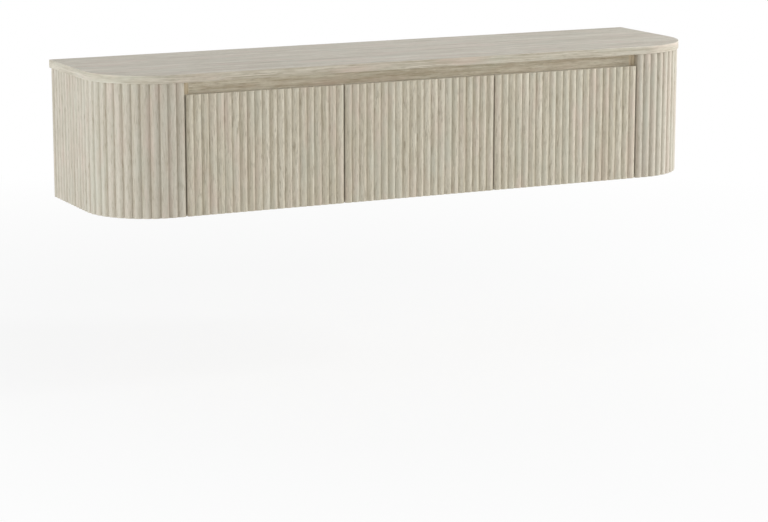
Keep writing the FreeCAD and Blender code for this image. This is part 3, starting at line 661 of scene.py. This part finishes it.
# Top slab
slabLook = {
    "cornerRadius": 0.185,
    "cornerSteps": 32,
    "edgeRadius": 0.0012,
    "flatFrom": 0.5,            # faces whose normal rises more than this get the top's veneer
}
slabLow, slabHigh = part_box("top_slab")


def bendAt(reach):
    # the corner's radius in a layer that reaches this far to the side, about the same middle
    return slabLook["cornerRadius"] - (slabHigh.x - reach)


def roundFront(bm, radius):
    # rounds the two upright edges at the front of a board
    front = min(vert.co.y for vert in bm.verts)
    corners = [edge for edge in bm.edges
               if not isLevel(edge) and all(abs(vert.co.y - front) < touching for vert in edge.verts)]
    rounded(bm, corners, radius, slabLook["cornerSteps"], clamp=False)


def aroundFront(half, depth, radius):
    # distance along a rounded front from its middle, for a point on or near it
    flat = half - radius
    corner = radius * quarter

    def distance(place):
        side = abs(place.x)
        if side <= flat:
            found = side
        elif place.y >= radius - depth:
            found = flat + corner + place.y + depth - radius
        else:
            found = flat + radius * math.atan2(side - flat, radius - depth - place.y)
        return math.copysign(found, place.x)
    return distance


def makeSlab():
    bm = rawBoard(slabLow, slabHigh)
    roundFront(bm, slabLook["cornerRadius"])
    # all level edges but those along the wall
    rims = [edge for edge in bm.edges if isLevel(edge) and min(vert.co.y for vert in edge.verts) < -touching]
    ease(bm, rims, slabLook["edgeRadius"])
    faceOut(bm)
    around = aroundFront(slabHigh.x, -slabLow.y, slabLook["cornerRadius"])

    def unrolled(place, normal):
        if abs(normal.z) > slabLook["flatFrom"]:
            return place.x, place.y
        return around(place), place.z
    veneer(bm, "slab", 0, unrolled)
    newObject("slab", bm, oakAlong, "cabinet", "oak_along", "top_slab")


makeSlab()
print("slab is made")


# Reeded faces
reedLook = {
    "height": 0.0045,
    "width": 0.0215,
    "steps": 12,
    "sawnEase": 0.0004,
    "sawnSteps": 2,
    "valleyToCrest": 1.5,       # the mark rises by this much from the valley's painted shade, where it is -1, to the crest's wear
}


def spinReeds(bm, path, length, turn):
    # each reed is one vertex spun from valley to valley about the reed's own centre
    count = round(length / reedLook["width"])
    valleys = [path(length * step / count) for step in range(count + 1)]
    tip = bm.verts.new(valleys[0][0])
    for step in range(count):
        start, end = valleys[step][0], valleys[step + 1][0]
        middle, outward = path(length * (step + 0.5) / count)
        crest = middle + outward * reedLook["height"]
        half = (end - start).length / 2
        rise = (crest - (start + end) / 2).length
        radius = (rise ** 2 + half ** 2) / (2 * rise)
        made = bmesh.ops.spin(bm, geom=[tip], cent=crest - outward * radius, axis=up * turn,
                              angle=4 * math.atan(rise / half), steps=reedLook["steps"])
        tip = vertsIn(made["geom_last"])[0]
        tip.co = end
    # crests are rubbed, and valleys get painted shade: the vertices follow one another, as many in every
    # reed
    wearAndShade = bm.verts.layers.float.new("wearAndShade")
    for number, vert in enumerate(bm.verts):
        share = number % reedLook["steps"] / reedLook["steps"]
        vert[wearAndShade] = reedLook["valleyToCrest"] * math.sin(math.pi * share) - 1


def closeReeds(bm, foot, height):
    # flat back, then upright, then both sawn ends eased
    made = bmesh.ops.extrude_edge_only(bm, edges=bm.edges[:])
    wearAndShade = bm.verts.layers.float["wearAndShade"]
    for vert in vertsIn(made["geom"]):
        vert.co = foot(vert.co)
        vert[wearAndShade] = 0
    welded(bm)
    raised(bm, bm.faces[:], up * height)
    faceOut(bm)
    ends = [edge for edge in bm.edges
            if isLevel(edge) and any(abs(face.normal.z) < straight for face in edge.link_faces)]
    rounded(bm, ends, reedLook["sawnEase"], reedLook["sawnSteps"])
    faceOut(bm)


def makeDoorFacing(side):
    node = side + "_door_facing"
    low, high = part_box(node)
    back = high.y
    valley = low.y + reedLook["height"]

    def path(distance):
        return Vector((low.x + distance, valley, low.z)), -toWall
    bm = bmesh.new()
    spinReeds(bm, path, high.x - low.x, 1)
    closeReeds(bm, lambda place: Vector((place.x, back, low.z)), high.z - low.z)
    name = side + "DoorReeds"
    veneer(bm, name, 2, lambda place, normal: (place.z, place.x))
    newObject(name, bm, oakDoors, side + "_door", "fluted_oak", node)


def makeEndFacing(side):
    # made for the left end, where the reeds run round to the left; the right one is turned over
    low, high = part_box("left_end_facing")
    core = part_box("left_end_core")[0]
    inner = -high.x
    half = -low.x - reedLook["height"]
    depth = -low.y - reedLook["height"]
    bend, coreBend = bendAt(half), bendAt(-core.x)
    carcassBend = bendAt(-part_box("bottom_panel")[0].x)
    front = half - bend - inner
    corner = carcassBend * quarter
    length = front + corner + depth - bend
    centre = Vector((bend - half, bend - depth, low.z))

    def path(distance):
        # the reeds spread on the bend, so distance runs along its inside
        if distance <= front:
            return Vector((-inner - distance, -depth, low.z)), -toWall
        if distance >= front + corner:
            return Vector((-half, distance - front - corner + centre.y, low.z)), Vector((-1, 0, 0))
        angle = (distance - front) / carcassBend
        outward = Vector((-math.sin(angle), -math.cos(angle), 0))
        return centre + outward * bend, outward

    def foot(place):
        if place.x >= centre.x:
            return Vector((place.x, core.y, low.z))
        if place.y >= centre.y:
            return Vector((core.x, place.y, low.z))
        return centre + (place - centre).normalized() * coreBend

    bm = bmesh.new()
    spinReeds(bm, path, length, -1)
    closeReeds(bm, foot, high.z - low.z)
    around = aroundFront(half, depth, bend)
    name = side + "EndReeds"
    veneer(bm, name, 2, lambda place, normal: (place.z, around(place)))
    if side == "right":
        mirrored(bm)
    newObject(name, bm, oakEndsShaded, "cabinet", "fluted_oak", side + "_end_facing")


for side in doors:
    makeDoorFacing(side)
for side in ("left", "right"):
    makeEndFacing(side)
print("reeded faces are made")


# Boards
boardLook = {
    "arris": 0.0008,            # every board's edges are eased this much
    "holeRim": 0.0003,          # holes are countersunk this much
    "holeFrame": 1.15,          # half the square around a hole, against its radius
    "holeSteps": 32,
    "capRadius": 0.0065,
    "capThick": 0.0016,
    "capProfile": [(0, 0), (1, 0), (1, 0.35), (0.93, 0.75), (0.8, 1), (0, 1)],      # shares of these two
    "capSteps": 28,
    "cupBore": 0.0176,
    "cupBoreDepth": 0.0125,
    "cupBoreSteps": 48,
    "cupMiddle": 0.0205,        # from the hinge edge of the door
    "hingeInset": 0.056,        # from the door's ends
}


def boreHoles(bm, places, radius, depth=None, steps=boardLook["holeSteps"]):
    # round holes along Y, right through or blind from the side to the wall
    reach = radius * boardLook["holeFrame"]
    for axis in (0, 2):
        # rounded to the micron, so that holes in one row share their cuts
        for cut in sorted({round(place[axis] + side * reach, 6) for place in places for side in (-1, 1)}):
            cutAcross(bm, axis, cut)
    ends = [(max(vert.co.y for vert in bm.verts), -boardLook["holeRim"])]
    if not depth:
        ends.append((min(vert.co.y for vert in bm.verts), boardLook["holeRim"]))
    turn = up.rotation_difference(toWall).to_matrix().to_4x4()
    for place in places:
        rings = []
        for end, inward in ends:
            region = {face for face in bm.faces
                      if abs(face.calc_center_median().y - end) < touching
                      and all(abs(face.calc_center_median()[axis] - place[axis]) < reach for axis in (0, 2))}
            around = [edge for edge in bm.edges if len(region.intersection(edge.link_faces)) == 1]
            bmesh.ops.delete(bm, geom=list(region), context="FACES")
            middle = Vector((place[0], end + inward, place[2]))
            ring = newRing(bm, radius, steps, Matrix.Translation(middle) @ turn)
            bmesh.ops.bridge_loops(bm, edges=around + ring)
            rings.append(ring)
        if depth:
            bmesh.ops.edgeloop_fill(bm, edges=pulled(bm, rings[0], toWall * -depth))
        else:
            bmesh.ops.bridge_loops(bm, edges=rings[0] + rings[1])


def finishBoard(name, bm, node, slot, material, along, body="cabinet", holes=None, unrolled=None):
    faceOut(bm)
    ease(bm, proudEdges(bm), boardLook["arris"])
    if holes:
        boreHoles(bm, **holes)
    faceOut(bm)
    veneer(bm, name, along, unrolled)
    newObject(name, bm, material, body, slot, node)


# node, slot, finish and the axis of the grain
flatBoards = {
    "leftSide": ("left_side_panel", "oak_board", oakInsideShaded, 1),
    "rightSide": ("right_side_panel", "oak_board", oakInsideShaded, 1),
    "frontRail": ("front_rail", "oak_along", oakRailShaded, 0),
    "leftEndBack": ("left_end_back", "plain_board", plainBoard, 0),
    "rightEndBack": ("right_end_back", "plain_board", plainBoard, 0),
}
wallBoards = {
    "back": ("back_panel", "oak_back", oakBackShaded, 0),
    "upperHangingRail": ("upper_hanging_rail", "plain_board", plainBoard, 0),
    "lowerHangingRail": ("lower_hanging_rail", "plain_board", plainBoard, 0),
}


def makeWallBoards():
    # the back and both hanging rails share the holes for the wall screws
    screws = next(mount for mount in frame["record"]["mounts"] if mount["name"] == "wall_screws_outer")
    sizes = {name: number / 1000 for name, number in screws["dims"].items()}
    heights = [screws["pos_m"][2] + side * sizes["spacing_y_mm"] / 2 for side in (-1, 1)]
    for name, (node, *finish) in wallBoards.items():
        low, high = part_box(node)
        places = [(side * sizes["spacing_x_mm"] / 2, low.y, height) for side in (-1, 0, 1)
                  for height in heights if low.z < height < high.z]
        finishBoard(name, rawBoard(low, high), node, *finish,
                    holes={"places": places, "radius": sizes["hole_r_mm"]})
        if name == "back":
            makeScrewCaps(places)


def makeScrewCaps(places):
    # push-in caps over the wall screws, inside the cabinet
    profile = [(across * boardLook["capRadius"], -away * boardLook["capThick"])
               for across, away in boardLook["capProfile"]]
    bm = turnedAt(places, profile, toWall, boardLook["capSteps"])
    veneer(bm, "wallScrewCaps", 0)
    # the caps take the back's finish with its painted shade
    newObject("wallScrewCaps", bm, oakBackShaded, "cabinet", "oak_back")


def makePartition(side):
    # notched at the top front, where the rail passes
    railLow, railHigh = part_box("front_rail")
    low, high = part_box(side + "_partition")
    bm = rawBoard(low, Vector((high.x, high.y, railLow.z)))
    cutAcross(bm, 1, railHigh.y)
    rear = [face for face in bm.faces
            if face.normal.z > straight and face.calc_center_median().y > railHigh.y]
    raised(bm, rear, up * (high.z - railLow.z))
    bmesh.ops.delete(bm, geom=rear, context="FACES")
    finishBoard(side + "Partition", bm, side + "_partition", "oak_board", oakInsideShaded, 1)


def makeBottom():
    low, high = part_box("bottom_panel")
    bm = rawBoard(low, high)
    roundFront(bm, bendAt(high.x))
    finishBoard("bottom", bm, "bottom_panel", "oak_along", oakInsideShaded, 0)


def makeEndCore(side):
    # a short front run, the bend and the run back to the wall, all one thickness
    low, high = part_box("left_end_core")
    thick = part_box("bottom_panel")[0].x - low.x
    bend = bendAt(-low.x)
    centre = Vector((low.x + bend, low.y + bend, low.z))
    bm = bmesh.new()
    front = [bm.verts.new((high.x, low.y + away, low.z)) for away in (0, thick)]
    strip = pulled(bm, [bm.edges.new(front)], Vector((centre.x - high.x, 0, 0)))
    made = bmesh.ops.spin(bm, geom=strip + list(strip[0].verts), cent=centre, axis=-up, angle=quarter,
                          steps=slabLook["cornerSteps"])
    pulled(bm, edgesIn(made["geom_last"]), toWall * -centre.y)
    welded(bm)
    raised(bm, bm.faces[:], up * (high.z - low.z))
    if side == "right":
        mirrored(bm)
    around = aroundFront(-low.x, -low.y, bend)

    def unrolled(place, normal):
        return place.z, (place.y if abs(normal.x) > straight else around(place))
    finishBoard(side + "EndCore", bm, side + "_end_core", "oak_board", oakBoardLit, 2, unrolled=unrolled)


def makeDoorBoard(side, hand):
    # a blind bore for the cup of each hinge
    node = side + "_door_board"
    low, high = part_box(node)
    across = (low.x if hand > 0 else high.x) + hand * boardLook["cupMiddle"]
    places = [(across, 0, low.z + boardLook["hingeInset"]), (across, 0, high.z - boardLook["hingeInset"])]
    finishBoard(side + "DoorBoard", rawBoard(low, high), node, "oak_board", oakBoardLit, 2, side + "_door",
                holes={"places": places, "radius": boardLook["cupBore"], "depth": boardLook["cupBoreDepth"],
                       "steps": boardLook["cupBoreSteps"]})


for name, (node, *finish) in flatBoards.items():
    finishBoard(name, rawBoard(*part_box(node)), node, *finish)
makeWallBoards()
makePartition("left")
makePartition("right")
makeBottom()
makeEndCore("left")
makeEndCore("right")
for side, hand in doors.items():
    makeDoorBoard(side, hand)
print("boards are made")


# Hinges, made about the pin of a door hung on the left: X runs away from the hinge edge
hingeLook = {
    "cupFromPin": 0.0135, "doorFromPin": 0.0086,        # to the cup's middle, to the door's back
    "cupRadius": 0.0175, "cupRim": 0.0183, "cupDepth": 0.01175, "cupSteps": 48,
    "cupInside": (0.002, 0.0006),       # how wide the inner corner is cut, and its middle point
    "cupOutside": (0.003, 0.001),
    "lipEase": 0.0003, "rimEase": 0.0004,
    "wall": 0.0008,
    "flange": 0.0012, "flangeSides": (-0.0015, 0.0135), "flangeReach": 0.03,
    "flangeCorner": 0.0045, "flangeSteps": 12,
    "eyeRadius": 0.00215, "eyeBore": 0.00125, "eyeWidth": 0.0085, "eyeSteps": 24,
    "tongueThick": 0.002, "tongueDrop": 0.0004,
    "armReach": 0.0115, "armThick": 0.0025, "armWidth": 0.013, "armCrank": 0.016, "armLength": 0.05,
    "armBend": 0.0012, "armBendSteps": 4, "armTip": 0.003,      # roundings of its crank and its free end
    "armRim": 0.0012, "armSink": 0.0005,        # left around its stamped middle, which lies lower
    "plateThick": 0.0045, "plateWidth": 0.017, "plateCorner": 0.002,
    "wingThick": 0.002, "wingWidth": 0.012, "wingCorner": 0.005,
    "cornerSteps": 6,
    "flatAngle": 0.01,          # faces that meet flatter than this, in radians, become one
    "pinTip": 0.0004, "pinSteps": 20,
    "ease": 0.00035,
}


def roundAlong(bm, axis, radius, pick=lambda place: True, steps=hingeLook["cornerSteps"]):
    # rounds the edges along an axis whose middle passes the test
    edges = [edge for edge in bm.edges
             if abs((edge.verts[0].co - edge.verts[1].co).normalized()[axis]) > straight
             and pick((edge.verts[0].co + edge.verts[1].co) / 2)]
    rounded(bm, edges, radius, steps)


def easeSteel(bm):
    faceOut(bm)
    ease(bm, proudEdges(bm, shapeLook["corner"]), hingeLook["ease"])


def makeTab(side, arc):
    # one ear of the cup's flange, from the cup's wall out to its rounded end
    look = hingeLook
    first, last = [math.asin(place / arc) for place in reversed(look["flangeSides"])]
    bm = bmesh.new()
    start = bm.verts.new((arc * math.sin(first), 0, side * arc * math.cos(first)))
    bmesh.ops.spin(bm, geom=[start], cent=(0, 0, 0), axis=(0, side, 0), angle=last - first,
                   steps=look["flangeSteps"])
    made = bmesh.ops.extrude_edge_only(bm, edges=bm.edges[:])
    for vert in vertsIn(made["geom"]):
        vert.co.z = side * look["flangeReach"]
    raised(bm, bm.faces[:], toWall * look["flange"])
    faceOut(bm)
    bmesh.ops.dissolve_limit(bm, angle_limit=look["flatAngle"], verts=bm.verts, edges=bm.edges)

    def isOuter(place):
        return (abs(place.z) > look["flangeReach"] - touching
                and min(abs(place.x - edge) for edge in look["flangeSides"]) < touching)
    roundAlong(bm, 1, look["flangeCorner"], isOuter)
    easeSteel(bm)
    faceOut(bm)
    return bm


def makeCup():
    look = hingeLook
    radius, rim, lip, rimEase = look["cupRadius"], look["cupRim"], look["lipEase"], look["rimEase"]
    top, base = look["flange"], -look["cupDepth"]
    inner, floor = radius - look["wall"], base + look["wall"]
    inWide, inMiddle = look["cupInside"]
    outWide, outMiddle = look["cupOutside"]
    bm = turned([
        (0, floor), (inner - inWide, floor), (inner - inMiddle, floor + inMiddle), (inner, floor + inWide),
        (inner, top - lip), (inner + lip, top), (rim - rimEase, top), (rim, top - rimEase), (rim, 0),
        (radius, 0), (radius, base + outWide), (radius - outMiddle, base + outMiddle),
        (radius - outWide, base), (0, base)], toWall, look["cupSteps"])
    for side in (-1, 1):
        joined(bm, makeTab(side, (radius + rim) / 2 - look["wall"]))
    moved(bm, (look["cupFromPin"], look["doorFromPin"], 0))
    return bm


def makeEye():
    # the rolled end of the arm's tongue, about the pin
    look = hingeLook
    bore, radius, end, cut = look["eyeBore"], look["eyeRadius"], look["eyeWidth"] / 2, look["ease"]
    top = [(bore, end - cut), (bore + cut / 2, end), (radius - cut / 2, end), (radius, end - cut)]
    foot = [(out, -along) for out, along in top]
    return turned(foot + top[::-1] + foot[:1], up, look["eyeSteps"])


def makeArm(channel):
    # the strip's outline seen from above, from the tongue in the cup out to its free end
    look = hingeLook
    foot = -look["tongueThick"] / 2 - look["tongueDrop"]
    leg, thick, crank, half = look["armReach"], look["armThick"], look["armCrank"], look["armWidth"] / 2
    free = crank + look["armLength"]
    outline = [(leg, foot), (leg + thick, foot), (leg + thick, crank + thick),
               (channel + thick, crank + thick), (channel + thick, free), (channel, free),
               (channel, crank), (leg, crank)]
    bm = bmesh.new()
    bm.faces.new([bm.verts.new((x, y, -half)) for x, y in outline])
    welded(bm)
    raised(bm, bm.faces[:], up * look["armWidth"])
    faceOut(bm)
    bmesh.ops.dissolve_limit(bm, angle_limit=look["flatAngle"], verts=bm.verts, edges=bm.edges)
    roundAlong(bm, 2, look["armBend"], lambda place: place.y < free - touching, look["armBendSteps"])
    roundAlong(bm, 0, look["armTip"], lambda place: place.y > free - touching)
    easeSteel(bm)
    faceOut(bm)
    # the long face that looks into the compartment
    top = max((face for face in bm.faces if face.normal.x > straight), key=lambda face: face.calc_area())
    bmesh.ops.inset_region(bm, faces=[top], thickness=look["armRim"], depth=-look["armSink"],
                           use_even_offset=True)
    tongue = rawBoard(Vector((look["eyeBore"], foot, -look["eyeWidth"] / 2)),
                      Vector((leg + thick / 2, foot + look["tongueThick"], look["eyeWidth"] / 2)))
    easeSteel(tongue)
    joined(bm, tongue)
    joined(bm, makeEye())
    return bm


def stamped(face, middle, thick, length, width, corner):
    # a flat plate that lies on the cabinet's upright board
    bm = rawBoard(Vector((face, middle - length / 2, -width / 2)),
                  Vector((face + thick, middle + length / 2, width / 2)))
    roundAlong(bm, 0, corner)
    easeSteel(bm)
    return bm


def makePlate(face, middle, length, wing):
    look = hingeLook
    bm = stamped(face, middle, look["plateThick"], length, look["plateWidth"], look["plateCorner"])
    joined(bm, stamped(face, middle, look["wingThick"], look["wingWidth"], wing, look["wingCorner"]))
    return bm


def makeHinge(side, height, hand, pin):
    node = side + "_door_" + height + "_hinge_"
    name = side + height.capitalize() + "Hinge"
    low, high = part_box(node + "plate")
    face = min((x - pin.x) * hand for x in (low.x, high.x))
    middle = (low.y + high.y) / 2 - pin.y
    pieces = {
        "Cup": (makeCup(), side + "_door"),
        "Arm": (makeArm(face + hingeLook["plateThick"]), "cabinet"),
        "Plate": (makePlate(face, middle, high.y - low.y, high.z - low.z), "cabinet"),
    }
    for ending, (bm, body) in pieces.items():
        if hand < 0:
            mirrored(bm)
        moved(bm, pin)
        newObject(name + ending, bm, nickel, body, "nickel", node + ending.lower())


def makePins(side, pins):
    # one pin through each cup, with rounded ends
    low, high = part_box(side + "_door_hinge_pins")
    half = (high.z - low.z - abs(pins[1].z - pins[0].z)) / 2
    radius, tip = (high.x - low.x) / 2, hingeLook["pinTip"]
    bm = turnedAt(pins, [(0, -half), (radius - tip, -half), (radius, tip - half), (radius, half - tip),
                         (radius - tip, half), (0, half)], up, hingeLook["pinSteps"])
    newObject(side + "HingePins", bm, screwSteel, side + "_door", "screw_steel", side + "_door_hinge_pins")


# Screws with a cross recess, and the doors' bumpers
screwLook = {
    # shank radius, length, head radius, head height
    "cup": (0.00175, 0.009, 0.0036, 0.0016),
    "plate": (0.00175, 0.013, 0.0036, 0.0016),
    "arm": (0.0025, 0.007, 0.004, 0.002),
    "cupSpacing": 0.048,
    "cupOffset": 0.006,         # from the cup's middle, away from the pin
    "plateSpacing": 0.032,
    "armSpacing": 0.02,
    "steps": 24,
    "cells": 5,                 # along each side of the head's grid
    "recess": 0.55,             # the cross reaches this share of the head's radius
    "recessDepth": 0.55,        # share of the head's height
    "recessSlope": 0.25,        # share of half a bar's width
    "crown": (0.8, 0.96),       # the head's rounding, in shares of its radius and height
    "shoulder": (0.95, 0.55),
    "point": 0.3,               # share of the shank's radius
    "firstTurn": 0.4,
    "nextTurn": 1.1,            # each cross stands at another angle, in radians
}


def makeScrew(radius, length, headRadius, headHeight):
    # the cross is a grid's middle row and column pushed in, the head runs down from the grid's rim
    look = screwLook
    bm = bmesh.new()
    reach = headRadius * look["recess"]
    bmesh.ops.create_grid(bm, x_segments=look["cells"], y_segments=look["cells"], size=reach)
    half = reach / look["cells"]
    cross = [face for face in bm.faces
             if min(abs(face.calc_center_median().x), abs(face.calc_center_median().y)) < half
             and face.calc_center_median().length < reach - touching]
    bmesh.ops.inset_region(bm, faces=cross, thickness=half * look["recessSlope"],
                           depth=-headHeight * look["recessDepth"], use_even_offset=True)
    moved(bm, up * headHeight)
    rim = [edge for edge in bm.edges if edge.is_boundary]
    wide, high = look["crown"]
    ring = newRing(bm, headRadius * wide, look["steps"], Matrix.Translation(up * headHeight * high))
    bmesh.ops.bridge_loops(bm, edges=rim + ring)
    wide, high = look["shoulder"]
    outline = [(headRadius * wide, headHeight * high), (headRadius, 0), (radius, 0),
               (radius, radius - length), (radius * look["point"], -length)]
    for wide, high in outline:
        ring = pulled(bm, ring, Vector())
        for vert in {vert for edge in ring for vert in edge.verts}:
            vert.co = Vector((vert.co.x, vert.co.y, 0)).normalized() * wide + up * high
    bmesh.ops.edgeloop_fill(bm, edges=ring)
    faceOut(bm)
    return bm


def makeScrews(name, node, body, kind, spots):
    # a spot is the place under the head and the way out of the wood
    bm = bmesh.new()
    for number, (place, out) in enumerate(spots):
        screw = makeScrew(*screwLook[kind])
        spun = Matrix.Rotation(screwLook["firstTurn"] + number * screwLook["nextTurn"], 4, "Z")
        direction = out.to_track_quat("Z", "Y").to_matrix().to_4x4()
        bmesh.ops.transform(screw, matrix=Matrix.Translation(place) @ direction @ spun, verts=screw.verts)
        joined(bm, screw)
    newObject(name, bm, screwSteel, body, "screw_steel", node)


bumperLook = {
    # shares of the bumper's radius and thickness
    "profile": [(0, 0), (0.92, 0), (1, 0.12), (0.97, 0.5), (0.82, 0.8), (0.5, 0.96), (0, 1)],
    "steps": 24,
}


def makeBumpers(side):
    node = side + "_door_bumpers"
    low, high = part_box(node)
    radius = (high.x - low.x) / 2
    profile = [(across * radius, away * (high.y - low.y)) for across, away in bumperLook["profile"]]
    places = [(low.x + radius, low.y, height) for height in (low.z + radius, high.z - radius)]
    bm = turnedAt(places, profile, toWall, bumperLook["steps"])
    newObject(side + "Bumpers", bm, clearRubber, side + "_door", "clear_rubber", node)


def makeHardware():
    plateSpots, armSpots = [], []
    for side, hand in doors.items():
        out = Vector((hand, 0, 0))
        low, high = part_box(side + "_door_hinge_pins")
        pins, cupSpots = [], []
        for height in ("lower", "upper"):
            cupLow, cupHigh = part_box(side + "_door_" + height + "_hinge_cup")
            pin = Vector(((low.x + high.x) / 2, (low.y + high.y) / 2, (cupLow.z + cupHigh.z) / 2))
            pins.append(pin)
            makeHinge(side, height, hand, pin)
            across = pin.x + hand * (hingeLook["cupFromPin"] + screwLook["cupOffset"])
            door = pin.y + hingeLook["doorFromPin"] + hingeLook["flange"]
            plateLow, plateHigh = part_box(side + "_door_" + height + "_hinge_plate")
            wall = Vector((plateLow.x if hand > 0 else plateHigh.x, (plateLow.y + plateHigh.y) / 2, pin.z))
            onWing = wall + out * hingeLook["wingThick"]
            onArm = wall + out * (hingeLook["plateThick"] + hingeLook["armThick"])
            for end in (-0.5, 0.5):
                cupSpots.append((Vector((across, door, pin.z + end * screwLook["cupSpacing"])), toWall))
                plateSpots.append((onWing + up * end * screwLook["plateSpacing"], out))
                armSpots.append((onArm + toWall * end * screwLook["armSpacing"], out))
        makePins(side, pins)
        makeScrews(side + "CupScrews", side + "_door_cup_screws", side + "_door", "cup", cupSpots)
        makeBumpers(side)
    makeScrews("plateScrews", "hinge_plate_screws", "cabinet", "plate", plateSpots)
    makeScrews("armScrews", "hinge_arm_screws", "cabinet", "arm", armSpots)


makeHardware()
print("hinges, screws and bumpers are made")


# CAD pieces shut up inside the ends and the boards keep their shape and get their finish here
keptFinishes = {
    "end_upper_rib": plainSolid,
    "end_middle_rib": plainSolid,
    "end_post": plainSolid,
    "carcass_dowels": dowelWood,
}


def finishKept():
    for name, node in frame["nodes"].items():
        for ending, material in keptFinishes.items():
            if name.endswith(ending):
                node.data.materials.clear()
                node.data.materials.append(material)


finishKept()
print("kept pieces are finished")
